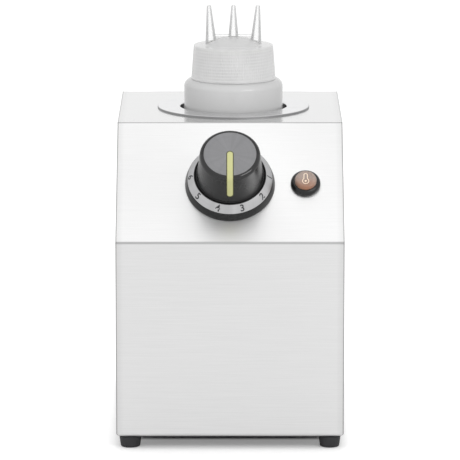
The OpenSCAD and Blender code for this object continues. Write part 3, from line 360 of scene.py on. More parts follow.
BRUSHED = BrushedGrain()
TURNED = TurnedRings()
MOULDED = MouldedSkin()
EDGES = EdgeTone()


# FINISHES


@dataclass(frozen=True)
class Finish:
    """What every finish has: a name, a colour and a roughness."""

    name: str
    colour: Colour
    roughness: float

    def look(self, sheet: Sheet) -> dict[str, Source]:
        """Lays out what changes over the surface.

        Args:
            sheet: The material's tree.

        Returns:
            What goes into the shader's inputs, by their names.
        """
        raise NotImplementedError

    def tone(self, factor: float) -> Colour:
        """The finish's colour, made lighter or darker by a factor."""
        return shade(self.colour, factor)

    def uneven(self, sheet: Sheet, share: Socket, least: float, most: float) -> Socket:
        """A roughness that follows a share, between two multiples of the finish's own."""
        return sheet.between(share, self.roughness * least, self.roughness * most)

    def edged(self, sheet: Sheet, colour: Socket, width: float, most: float, tone: Colour) -> Socket:
        """A colour that takes on another tone along edges, over a width in millimetres."""
        mask = EDGES.place(sheet, width * MM)["Edges"]
        return sheet.blend(sheet.between(mask, 0.0, most), colour, tone)

    def material(self) -> bpy.types.Material:
        """Builds the material, or finds the one that was built before.

        Returns:
            The material.
        """
        label = f"finish_{self.name}"
        known = bpy.data.materials.get(label)
        if known is not None:
            return known
        material = bpy.data.materials.new(label)
        material.use_nodes = True
        material.diffuse_color = (*self.colour, 1.0)
        sheet = Sheet(material.node_tree)
        shader = sheet.put("ShaderNodeBsdfPrincipled")
        sheet.put("ShaderNodeOutputMaterial", shader.outputs["BSDF"])
        sheet.fill(shader, {"Base Color": self.colour, "Roughness": self.roughness} | self.look(sheet))
        return material


@dataclass(frozen=True)
class SheetMetal(Finish):
    """Sheet metal with a brushed or rolled grain."""

    stretch: Triple = (30.0, 2600.0, 2600.0)
    depth: float = 0.01
    spread: float = 0.05
    smear: float = 0.35
    # edge_shadow, edge_width and edge_tone paint shade along the sheet's cut edges.
    edge_shadow: float = 0.0
    edge_width: float = 1.5
    edge_tone: float = 0.35
    # Painted shadow where the wrap turns to the side panels; fold_tone also colours the painted shadow along
    # the bends.
    side_edge: float = 0.0
    side_soft: float = 0.12
    side_hard: float = 0.62
    fold_tone: float = 0.2
    smooth_from: float = 0.0
    smoother: float = 0.36
    # Bends across the sheet, each with Y, Z and the depth of its painted shadow.
    creases: tuple[Triple, ...] = ()

    def crease(self, sheet: Sheet, place: Socket, bend: Triple) -> Socket:
        """The painted shadow along one bend that runs across the case.

        Args:
            sheet: The material's tree.
            place: The place on the object.
            bend: Where the bend is along Y and Z, in millimetres, and the share of shadow in its middle.

        Returns:
            The socket with the share of shadow.
        """
        y, z, depth = bend
        offset = sheet.vector("SUBTRACT", place, (0.0, y * MM, z * MM))
        distance = sheet.vector("LENGTH", sheet.vector("MULTIPLY", offset, (0.0, 1.0, 1.0)))
        return sheet.zone(distance, 0.5, 1.5, depth, 0.0)

    def folded_sides(self, sheet: Sheet, place: Socket) -> Socket:
        """How deep the painted shadow is where the sheet turns to the side panels.

        Args:
            sheet: The material's tree.
            place: The place on the object.

        Returns:
            The socket with the share of shadow.
        """
        across = sheet.sum("ABSOLUTE", sheet.parts(place)[0])
        soft = sheet.zone(across, self.side_edge - 6.0, self.side_edge - 0.9, 0.0, self.side_soft)
        hard = sheet.zone(across, self.side_edge - 1.3, self.side_edge - 0.5, 0.0, self.side_hard)
        return sheet.larger(soft, hard)

    def look(self, sheet: Sheet) -> dict[str, Source]:
        """Lays the grain over colour, roughness and relief, and paints shade along the cut edges, the folds
        to the side panels and the bends across the case.

        Args:
            sheet: The material's tree.

        Returns:
            What goes into the shader's inputs, by their names.
        """
        place = sheet.own_place()
        grain = BRUSHED.place(sheet, place, self.stretch)
        low = self.tone(1 - self.spread)
        streaky = sheet.blend(grain["Scratches"], low, self.tone(1 + self.spread / 2))
        colour = sheet.blend(sheet.between(grain["Smears"], 0.0, self.smear), streaky, low)
        # Painted shade along the cut edges.
        if self.edge_shadow:
            dark = self.tone(self.edge_tone)
            colour = self.edged(sheet, colour, self.edge_width, self.edge_shadow, dark)
        # Painted shadow where the sheet turns to the side panels, and along the bends across the case.
        if self.side_edge:
            colour = sheet.blend(self.folded_sides(sheet, place), colour, self.tone(self.fold_tone))
        for bend in self.creases:
            colour = sheet.blend(self.crease(sheet, place, bend), colour, self.tone(self.fold_tone))
        rough = self.uneven(sheet, grain["Smears"], 0.88, 1.15)
        if self.smooth_from:
            height = sheet.parts(place)[2]
            level = sheet.zone(height, self.smooth_from, self.smooth_from + 0.8, 1.0, self.smoother)
            rough = sheet.times(rough, level)
        normal = sheet.relief(grain["Scratches"], self.depth)
        return {"Metallic": 1.0, "Base Color": colour, "Roughness": rough, "Normal": normal}


@dataclass(frozen=True)
class TurnedMetal(Finish):
    """Metal with fine rings round an axis."""

    centre: Triple = (0.0, 0.0, 0.0)
    density: float = 2200.0
    depth: float = 0.006
    spread: float = 0.06
    metal: float = 1.0
    # edge_from, edge_width, edge_shadow and edge_tone paint a dark line of shade round the outer edge;
    # edge_rough makes it rougher.
    edge_from: float = 0.0
    edge_width: float = 0.4
    edge_shadow: float = 0.0
    edge_tone: float = 0.1
    edge_rough: float = 0.45

    def look(self, sheet: Sheet) -> dict[str, Source]:
        """Lays the rings over colour, roughness and relief, and paints a dark line of shade on the outer
        edge, which also turns rougher there.

        Args:
            sheet: The material's tree.

        Returns:
            What goes into the shader's inputs, by their names.
        """
        place = sheet.vector("SUBTRACT", sheet.own_place(), self.centre)
        rings = TURNED.place(sheet, place, self.density)
        low = self.tone(1 - self.spread)
        streaky = sheet.blend(rings["Streaks"], low, self.tone(1 + self.spread))
        colour = sheet.blend(sheet.between(rings["Rings"], 0.0, 0.5), streaky, low)
        rough = self.uneven(sheet, rings["Rings"], 0.85, 1.2)
        # Painted shade: a dark line round the outer edge.
        if self.edge_from:
            start, width = self.edge_from, self.edge_width
            radius = sheet.vector("LENGTH", sheet.vector("MULTIPLY", place, (1.0, 1.0, 0.0)))
            share = sheet.zone(radius, start, start + width, 0.0, self.edge_shadow)
            colour = sheet.blend(share, colour, self.tone(self.edge_tone))
            dull = sheet.zone(radius, start - width, start, 0.0, self.edge_rough)
            rough = sheet.larger(rough, dull)
        normal = sheet.relief(rings["Rings"], self.depth)
        return {"Metallic": self.metal, "Base Color": colour, "Roughness": rough, "Normal": normal}


@dataclass(frozen=True)
class Moulding(Finish):
    """A moulded plastic, rubber or ceramic body."""

    specular: float = 0.5
    pebble: float = 900.0
    cloud: float = 45.0
    depth: float = 0.01
    spread: float = 0.12
    rub: float = 0.0
    rub_width: float = 0.5
    gloss: float = 0.0
    gloss_rough: float = 0.07

    def look(self, sheet: Sheet) -> dict[str, Source]:
        """Lays the skin of the mould over colour, roughness and relief, and rubs the edges.

        Args:
            sheet: The material's tree.

        Returns:
            What goes into the shader's inputs, by their names.
        """
        skin = MOULDED.place(sheet, sheet.own_place(), self.pebble, self.cloud)
        colour = sheet.blend(skin["Clouds"], self.tone(1 - self.spread), self.tone(1 + self.spread))
        if self.rub:
            worn = shade(tuple(part + 0.03 for part in self.colour), 2.0)
            colour = self.edged(sheet, colour, self.rub_width, self.rub, worn)
        return {
            "Specular IOR Level": self.specular,
            "Coat Weight": self.gloss,
            "Coat Roughness": self.gloss_rough,
            "Base Color": colour,
            "Roughness": self.uneven(sheet, skin["Clouds"], 0.88, 1.12),
            "Normal": sheet.relief(skin["Height"], self.depth),
        }


@dataclass(frozen=True)
class ClearPlastic(Finish):
    """A plastic that lets light through: frosted, milky or tinted."""

    clearness: float = 0.5
    index: float = 1.5
    pebble: float = 700.0
    depth: float = 0.02
    spread: float = 0.06
    rim: float = 1.0
    # deep, deep_from and deep_to paint shade: a darker colour towards one side along Y.
    deep: Colour | None = None
    deep_from: float = 1.0
    deep_to: float = -8.0

    def look(self, sheet: Sheet) -> dict[str, Source]:
        """Makes the plastic faintly uneven, darker and redder towards one side with painted shade, and darker
        where it is seen edge on.

        Args:
            sheet: The material's tree.

        Returns:
            What goes into the shader's inputs, by their names.
        """
        place = sheet.own_place()
        skin = MOULDED.place(sheet, place, self.pebble, self.pebble / 3)
        colour = sheet.blend(skin["Clouds"], self.tone(1 - self.spread), self.colour)
        # Painted shade: darker towards the lower side.
        if self.deep is not None:
            down = sheet.zone(sheet.parts(place)[1], self.deep_from, self.deep_to, 0.0, 1.0)
            colour = sheet.blend(down, colour, self.deep)
        if self.rim < 1:
            facing = sheet.put("ShaderNodeLayerWeight", 0.35).outputs["Facing"]
            colour = sheet.blend(sheet.sum("POWER", facing, 2.0), colour, self.tone(self.rim))
        return {
            "Transmission Weight": self.clearness,
            "IOR": self.index,
            "Base Color": colour,
            "Roughness": self.uneven(sheet, skin["Clouds"], 0.9, 1.1),
            "Normal": sheet.relief(skin["Height"], self.depth),
        }


@dataclass(frozen=True)
class ThinPlastic(Finish):
    """A thin milky wall, through which some of what is behind it shows."""

    see_through: float = 0.5
    edge_through: float = 0.0
    turn_start: float = 0.1
    turn_end: float = 0.9
    # Painted light: the wall glows in its own colour by this strength.
    glow: float = 0.0
    edge_tint: float = 1.0
    # lines, line_tone, line_pitch and line_top paint the shade of the thread behind the wall.
    lines: float = 0.0
    line_tone: float = 0.5
    line_pitch: float = 2.5
    line_top: float = 298.0
    # Painted shade: the colour darkens by this factor from the height high to the height low.
    painted_shade: float = 1.0
    low: float = 250.0
    high: float = 269.0
    spread: float = 0.04
    specular: float = 0.3
    pebble: float = 600.0
    cloud: float = 50.0
    depth: float = 0.01

    def thread_lines(self, sheet: Sheet, place: Socket) -> Socket:
        """Painted shade in faint rising lines, where a thread lies behind the wall.

        Args:
            sheet: The material's tree.
            place: The place on the object.

        Returns:
            The socket with the share of the darker tone.
        """
        x, y, z = sheet.parts(place)
        turn = sheet.sum("DIVIDE", sheet.sum("ARCTAN2", y, x), 2 * math.pi)
        rise = sheet.sum("DIVIDE", z, self.line_pitch * MM)
        wave = sheet.sum("PINGPONG", sheet.minus(rise, turn), 0.5)
        patches = sheet.span(sheet.noise(place, 55.0), 0.35, 0.65, 0.25, 1.0)
        line = sheet.times(sheet.span(wave, 0.05, 0.45, 0.0, self.lines), patches)
        return sheet.times(line, sheet.zone(z, self.line_top, self.line_top + 1.0, 1.0, 0.0))

    def look(self, sheet: Sheet) -> dict[str, Source]:
        """Lets less through where the wall is seen edge on, paints shade from one height to another and the
        lines of the thread behind the wall, and makes the wall glow faintly with painted light.

        Args:
            sheet: The material's tree.

        Returns:
            What goes into the shader's inputs, by their names.
        """
        place = sheet.own_place()
        skin = MOULDED.place(sheet, place, self.pebble, self.cloud)
        colour = sheet.blend(skin["Clouds"], self.tone(1 - self.spread), self.colour)
        # Painted shade: darker towards the bottle's foot in the well, and over the cap's dome.
        if self.painted_shade < 1:
            down = sheet.zone(sheet.parts(place)[2], self.high, self.low, 0.0, 1.0)
            colour = sheet.blend(down, colour, self.tone(self.painted_shade))
        # Painted shade of the thread behind the wall.
        if self.lines:
            colour = sheet.blend(self.thread_lines(sheet, place), colour, self.tone(self.line_tone))
        facing = sheet.put("ShaderNodeLayerWeight", 0.5).outputs["Facing"]
        if self.edge_tint < 1:
            colour = sheet.blend(facing, colour, self.tone(self.edge_tint))
        edge = sheet.span(facing, self.turn_start, self.turn_end, 0.0, 1.0)
        return {
            "Specular IOR Level": self.specular,
            # The glow is painted light.
            "Emission Strength": self.glow,
            "Emission Color": colour,
            "Base Color": colour,
            "Alpha": sheet.between(edge, 1 - self.see_through, 1 - self.edge_through),
            "Roughness": self.uneven(sheet, skin["Clouds"], 0.9, 1.1),
            "Normal": sheet.relief(skin["Height"], self.depth),
        }


@dataclass(frozen=True)
class WoolMat(Finish):
    """A mat of glass fibres."""

    upright: Triple = (260.0, 260.0, 1900.0)
    level: Triple = (1700.0, 1700.0, 240.0)
    warmth: float = 0.72
    sheen: float = 0.3
    fibre_height: float = 0.3
    depth: float = 0.6

    def look(self, sheet: Sheet) -> dict[str, Source]:
        """Tangles two stretched noises into fibres, over a soft lumpy relief.

        Args:
            sheet: The material's tree.

        Returns:
            What goes into the shader's inputs, by their names.
        """
        place = sheet.own_place()
        upright, level = (BRUSHED.place(sheet, place, way)["Scratches"] for way in (self.upright, self.level))
        fibres = sheet.larger(upright, level)
        lumps = MOULDED.place(sheet, place, 220.0, 90.0)
        colour = sheet.blend(fibres, self.tone(self.warmth), self.colour)
        height = sheet.sum("ADD", sheet.times(fibres, self.fibre_height), lumps["Height"])
        return {
            "Sheen Weight": self.sheen,
            "Base Color": sheet.blend(lumps["Clouds"], colour, self.colour),
            "Normal": sheet.relief(height, self.depth),
        }


STEEL = screen(228, 228, 228)
# The wrap gets painted shade along its cut edges, where it turns to the sides, and along its two bends.
CASE_WRAP = SheetMetal(
    "case_steel_across", STEEL, 0.38, edge_shadow=0.6, side_edge=90.0, smooth_from=247.6,
    creases=((-131.695, 166.0, 0.52), (-49.195, 248.5, 0.4)),
)
# The side and back covers get painted shade along their edges.
CASE_SIDE = SheetMetal("case_steel_sides", STEEL, 0.3, stretch=(2600.0, 30.0, 2600.0), edge_shadow=0.5)
CASE_BACK = SheetMetal("case_steel_back", STEEL, 0.3, stretch=(30.0, 2600.0, 2600.0), edge_shadow=0.5)
# Painted shade: the base plate is made dark, so that its front edge shows as the dark line under the case.
BASE_SHADED = Moulding(
    "shaded_base_sheet", screen(58, 58, 60), 0.6, specular=0.3, pebble=1300.0, depth=0.04, rub=0.1
)
# The well's flange gets a painted dark line of shade round its outer edge.
WELL_STEEL = TurnedMetal(
    "drawn_steel_well", screen(228, 228, 229), 0.16, centre=(0.0028, 0.030805, 0.0), edge_from=61.5,
    edge_shadow=0.7,
)
HEATER_STEEL = SheetMetal(
    "heat_tinted_steel", screen(168, 160, 150), 0.34, stretch=(300.0, 300.0, 60.0), spread=0.3
)
PLATED = SheetMetal("plated_steel", screen(205, 206, 210), 0.22, stretch=(500.0, 500.0, 500.0), depth=0.004)
COPPER = SheetMetal("drawn_copper", screen(196, 132, 92), 0.3, stretch=(700.0, 700.0, 700.0), spread=0.22)
BRASS = SheetMetal("plain_brass", screen(205, 176, 98), 0.26, stretch=(900.0, 900.0, 900.0), spread=0.15)
WOOL = WoolMat("glass_wool", screen(236, 230, 196), 0.9)
BAKELITE = Moulding("brown_bakelite", screen(52, 40, 32), 0.35, spread=0.25, rub=0.35)
CERAMIC = Moulding("cream_ceramic", screen(232, 226, 208), 0.45, spread=0.04, pebble=1600.0, depth=0.02)
RUBBER = Moulding(
    "foot_rubber", screen(44, 44, 46), 0.62, specular=0.4, pebble=1500.0, depth=0.03, rub=0.25
)
BLACK_GLOSS = Moulding(
    "black_gloss", screen(13, 13, 14), 0.27, specular=0.42, pebble=500.0, depth=0.004, rub=0.12, gloss=0.1
)
BLACK_POLISHED = Moulding(
    "black_polished", screen(16, 16, 17), 0.16, specular=0.1, pebble=500.0, depth=0.001, gloss=1.0
)
# The knob's face is a light grey: painted reflection of the overhead light on the black top.
KNOB_FACE = TurnedMetal("knob_face", screen(134, 134, 136), 0.42, density=2400.0, spread=0.08, metal=0.35)
NYLON_BLACK = Moulding("black_nylon", screen(40, 40, 42), 0.5, pebble=1800.0, depth=0.02, rub=0.2)
NYLON_WHITE = Moulding("white_nylon", screen(236, 235, 230), 0.42, spread=0.03, pebble=1500.0, depth=0.015)
FOIL = TurnedMetal("silver_foil", screen(188, 188, 189), 0.34, density=2600.0, depth=0.008, spread=0.1)
POINTER = Moulding("pointer_cream", screen(205, 205, 147), 0.5, specular=0.3, spread=0.05, pebble=1400.0)
# A dark olive strip under the pointer's edges: painted shadow of a groove round it.
POINTER_SHADOW = Moulding("pointer_shadow_strip", screen(70, 70, 34), 0.5, spread=0.2)
INK = Moulding("numeral_ink", screen(38, 38, 40), 0.5, spread=0.3, pebble=3000.0)
SIGN_INK = Moulding("sign_ink", screen(255, 232, 208), 0.4, spread=0.03)
# The lens is painted darker and redder towards its lower side, as shade.
LENS = ClearPlastic(
    "lens_rose", screen(230, 208, 196), 0.12, pebble=2600.0, spread=0.3, rim=0.5, deep=screen(208, 152, 120)
)
NEON_GLASS = ClearPlastic("neon_glass", screen(255, 226, 190), 0.03, clearness=0.95, depth=0.002)
# The bottle gets painted shade towards its foot, and a faint glow of painted light.
BOTTLE_MILK = ThinPlastic(
    "bottle_plastic", screen(207, 207, 207), 0.16, see_through=0.1, painted_shade=0.84, glow=0.17, edge_tint=0.66
)
# The cap gets painted shade over its dome, painted shade of the thread behind its wall, and a faint glow of
# painted light.
CAP_MILK = ThinPlastic(
    "cap_plastic", screen(229, 229, 229), 0.14, see_through=0.5, edge_through=0.1, glow=0.22,
    edge_tint=0.62, lines=0.34, painted_shade=0.88, high=299.9, low=301.2,
)
# The nozzles get a faint glow of painted light.
NOZZLE_CLEAR = ThinPlastic(
    "nozzle_plastic", screen(200, 200, 200), 0.12, see_through=0.95, edge_through=0.2, edge_tint=0.6,
    turn_end=0.5, glow=0.2,
)
FOAM = Moulding("liner_foam", screen(240, 238, 230), 0.8, spread=0.04, pebble=2400.0, depth=0.08)
WIRE_BROWN = Moulding("wire_brown", screen(116, 68, 42), 0.4, pebble=2200.0)
WIRE_BLACK = Moulding("wire_black", screen(34, 34, 36), 0.4, pebble=2200.0)
WIRE_BLUE = Moulding("wire_blue", screen(52, 98, 176), 0.4, pebble=2200.0)
WIRE_GREEN = Moulding("wire_green", screen(88, 148, 54), 0.4, pebble=2200.0)
WIRE_WHITE = Moulding("wire_white", screen(228, 228, 222), 0.4, pebble=2200.0, spread=0.04)


class Body(Enum):
    """The moving bodies that a piece can ride on."""

    CASE = "case"
    KNOB = "dial_knob"
    BOTTLE = "bottle"
    CAP = "cap"


# FORMS

TINY = 1e-9
ON_AXIS = 1e-6
NEARLY_STRAIGHT = math.radians(178)
MOST_OF_EDGE = 0.48
SHARP_FROM = math.radians(32)


def along_arc(centre: Point, radius: float, start: float, end: float, steps: int) -> list[Point]:
    """Points on an arc, with both ends, from a start to an end angle in degrees."""
    angles = [math.radians(start + (end - start) * k / steps) for k in range(steps + 1)]
    return [(centre[0] + radius * math.cos(a), centre[1] + radius * math.sin(a)) for a in angles]


def softened(corners: Sequence[Triple], steps: int = 5) -> list[Point]:
    """Rounds the corners of a closed outline.

    Args:
        corners: Points as x, y and the radius of the rounding.
        steps: Number of steps in each rounding.

    Returns:
        The points of the rounded outline.
    """
    points: list[Point] = []
    for k, (x, y, radius) in enumerate(corners):
        here = Vector((x, y))
        before = Vector(corners[k - 1][:2]) - here
        after = Vector(corners[(k + 1) % len(corners)][:2]) - here
        opening = before.angle(after, math.pi)
        if radius <= 0 or opening > NEARLY_STRAIGHT:
            points.append((x, y))
            continue
        room = (MOST_OF_EDGE * before.length, MOST_OF_EDGE * after.length)
        reach = min(radius / math.tan(opening / 2), *room)
        radius = reach * math.tan(opening / 2)
        first = here + before.normalized() * reach
        last = here + after.normalized() * reach
        bisector = (before.normalized() + after.normalized()).normalized()
        centre = here + bisector * (radius / math.sin(opening / 2))
        turn = (first - centre).angle_signed(last - centre)
        for step in range(steps + 1):
            arm = first - centre
            arm.rotate(Matrix.Rotation(-turn * step / steps, 2))
            points.append(tuple(centre + arm))
    return points


def stored(name: str, work: Work) -> bpy.types.Mesh:
    """Stores a working mesh, which is used up.

    Args:
        name: Name of the mesh.
        work: The working mesh.

    Returns:
        The stored mesh.
    """
    mesh = bpy.data.meshes.new(name)
    work.to_mesh(mesh)
    work.free()
    return mesh


def placed(name: str, data: bpy.types.ID) -> bpy.types.Object:
    """Puts a mesh, a lamp, a camera or a writing in the scene.

    Args:
        name: Name of the object.
        data: What the object shows.

    Returns:
        The new object.
    """
    made = bpy.data.objects.new(name, data)
    bpy.context.scene.collection.objects.link(made)
    return made


def worked_out(made: bpy.types.Object) -> Work:
    """The working mesh of an object, after its modifiers.

    Args:
        made: The object.

    Returns:
        The working mesh.
    """
    bpy.context.view_layer.update()
    work = bmesh.new()
    work.from_mesh(made.evaluated_get(bpy.context.evaluated_depsgraph_get()).to_mesh())
    return work


def quads(work: Work, rows: list[list[Vertex]], ends_meet: bool = False, sides_meet: bool = False) -> None:
    """Fills the gaps between rows of points with faces.

    Args:
        work: The working mesh.
        rows: Rows with the same number of points.
        ends_meet: Whether the last row joins the first.
        sides_meet: Whether the last point of each row joins its first.
    """
    for one, two in zip(rows, rows[1:] + rows[:1] if ends_meet else rows[1:]):
        for j in range(len(one) if sides_meet else len(one) - 1):
            i = (j + 1) % len(one)
            work.faces.new((one[j], one[i], two[i], two[j]))


def turned(outline: Sequence[Point], segments: int) -> Work:
    """Turns a closed outline round the Z axis.

    Args:
        outline: Points as radius and height, in millimetres.
        segments: Number of segments round the axis.

    Returns:
        The working mesh.
    """
    work = bmesh.new()
    rings: list[list[Vertex]] = []
    turns = [2 * math.pi * k / segments for k in range(segments)]
    for radius, height in outline:
        if radius < ON_AXIS:
            rings.append([work.verts.new((0.0, 0.0, height))])
        else:
            ring = [(radius * math.cos(a), radius * math.sin(a), height) for a in turns]
            rings.append([work.verts.new(spot) for spot in ring])
    for ring, following in zip(rings, rings[1:] + rings[:1]):
        if len(ring) == 1 and len(following) == 1:
            continue
        for start in range(segments):
            end = (start + 1) % segments
            corners = ((ring, start), (following, start), (following, end), (ring, end))
            work.faces.new(dict.fromkeys(row[k % len(row)] for row, k in corners))
    return work


def helix(root: float, crest: float, foot: float, pitch: float, turns: float) -> Work:
    """A rounded screw thread.

    Args:
        root: Radius where it sits on its wall.
        crest: Radius of its crest.
        foot: Height of its start.
        pitch: Rise in one turn.
        turns: Number of turns.

    Returns:
        The working mesh.
    """
    work = bmesh.new()
    per_turn = 96
    steps = round(turns * per_turn)
    ridge = ((-1.15, 0.0), (-0.85, 0.55), (-0.45, 0.95), (0.0, 1.0), (0.45, 0.95), (0.85, 0.55), (1.15, 0.0))
    rings: list[list[Vertex]] = []
    for k in range(steps + 1):
        angle = 2 * math.pi * k / per_turn
        fade = max(min(1.0, k / 10, (steps - k) / 10), 0.05)
        ring = []
        for up, out in ridge:
            radius = root + (crest - root) * out * fade
            height = foot + pitch * k / per_turn + up * (0.4 + 0.6 * fade)
            ring.append(work.verts.new((radius * math.cos(angle), radius * math.sin(angle), height)))
        rings.append(ring)
    quads(work, rings, sides_meet=True)
    work.faces.new(rings[0])
    work.faces.new(list(reversed(rings[-1])))
    return work


def joined(parts: Iterable[Work]) -> Work:
    """Puts several working meshes into one.

    Args:
        parts: The working meshes, which are used up.

    Returns:
        The one working mesh.
    """
    whole = bmesh.new()
    for part in parts:
        loose = stored("loose", part)
        whole.from_mesh(loose)
        bpy.data.meshes.remove(loose)
    return whole


def carved(base: Work, tools: Iterable[Work], operation: str) -> Work:
    """Adds solids to a solid, or cuts them out of it.

    Args:
        base: The solid to work on.
        tools: The solids to add or cut.
        operation: UNION or DIFFERENCE.

    Returns:
        The resulting working mesh.
    """
    made: list[bpy.types.Object] = []
    for solid in (base, *tools):
        bmesh.ops.recalc_face_normals(solid, faces=solid.faces[:])
        made.append(placed("solid", stored("solid", solid)))
    for cutter in made[1:]:
        modifier = made[0].modifiers.new("carve", "BOOLEAN")
        modifier.operation = operation
        modifier.solver = "EXACT"
        modifier.object = cutter
    result = worked_out(made[0])
    for solid in made:
        mesh = solid.data
        bpy.data.objects.remove(solid)
        bpy.data.meshes.remove(mesh)
    return result


@dataclass
class Piece:
    """A piece that is built here, with what it rides on and stands for."""

    name: str
    finish: Finish
    body: Body
    slot: str
    stands_for: tuple[str, ...] = ()
    second_finish: Finish | None = None

    def add(self, work: Work, seat: Matrix) -> bpy.types.Mesh:
        """Puts the piece in the scene, with its faces smooth between sharp edges.

        Args:
            work: Its working mesh, in millimetres, in the piece's own frame.
            seat: Where that frame is.

        Returns:
            The stored mesh, in metres.
        """
        bmesh.ops.recalc_face_normals(work, faces=work.faces[:])
        bmesh.ops.scale(work, vec=(MM, MM, MM), verts=work.verts[:])
        mesh = stored(self.name, work)
        mesh.polygons.foreach_set("use_smooth", [True] * len(mesh.polygons))
        mesh.set_sharp_from_angle(angle=SHARP_FROM)
        mesh.materials.append(self.finish.material())
        if self.second_finish is not None:
            mesh.materials.append(self.second_finish.material())
        made = placed(self.name, mesh)
        made.matrix_world = seat
        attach(made, self.body.value)
        if self.stands_for:
            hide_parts(*self.stands_for)
        log.info("built %s: %d faces, rides on %s", self.name, len(mesh.polygons), self.body.value)
        return mesh


def dress_node(node: str, finish: Finish) -> None:
    """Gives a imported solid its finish.

    Args:
        node: Name of the solid.
        finish: Its finish.
    """
    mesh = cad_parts[node].data
    mesh.materials.clear()
    mesh.materials.append(finish.material())
    log.info("dressed %s in %s", node, finish.name)


# THE OBJECT


@dataclass
class Slope:
    """The control face: its frame has +Z out of the face and +Y up it."""

    axis_y: float = -91.956
    axis_z: float = 205.739
    tilt: float = 45.0

    def seat(self, across: float = 0.0) -> Matrix:
        """The frame at a distance across the face, in millimetres, at the height of the dial's axis."""
        spot = Vector((across, self.axis_y, self.axis_z)) * MM
        return Matrix.Translation(spot) @ Matrix.Rotation(math.radians(self.tilt), 4, "X")


class Fittings:
    """A sub-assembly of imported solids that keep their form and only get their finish."""

    finishes: tuple[tuple[Finish, tuple[str, ...]], ...] = ()

    def dress(self) -> None:
        """Gives every solid its finish."""
        for finish, nodes in self.finishes:
            for node in nodes:
                dress_node(node, finish)


class Case(Fittings):
    """The folded case with its covers, feet and screws."""

    finishes = (
        (CASE_WRAP, ("housing_wrap",)),
        (CASE_SIDE, ("side_panel_left", "side_panel_right")),
        (CASE_BACK, ("back_panel",)),
        (BASE_SHADED, ("base_plate",)),
        (RUBBER, ("feet",)),
        (PLATED, ("foot_screws", "foot_nuts", "base_screws", "back_screws")),
    )


class Well(Fittings):
    """The drawn well and what heats it."""

    finishes = (
        (WELL_STEEL, ("well_pot",)),
        (HEATER_STEEL, ("heater_band",)),
        (WOOL, ("insulation_sleeve",)),
        (BAKELITE, ("thermal_cutout",)),
        (PLATED, ("well_nuts", "heater_clamp", "insulation_straps")),
        (PLATED, ("cutout_bracket", "cutout_nuts", "bulb_clip")),
        (COPPER, ("sensing_bulb", "capillary_tube")),
    )


class Controls(Fittings):
    """What sits behind the control face, and the supply."""

    finishes = (
        (CERAMIC, ("thermostat_body",)),
        (PLATED, ("thermostat_plate", "thermostat_screws", "thermostat_spindle", "knob_spring")),
        (NYLON_WHITE, ("terminal_block",)),
        (BRASS, ("terminal_screws", "earth_stud")),
        (NYLON_BLACK, ("cable_gland", "gland_nut", "gland_locknut")),
        (WIRE_BROWN, ("wire_live",)),
        (WIRE_BLACK, ("wire_switched", "wire_heater")),
        (WIRE_BLUE, ("wire_neutral",)),
        (WIRE_GREEN, ("wire_earth",)),
        (WIRE_WHITE, ("lamp_leads",)),
    )


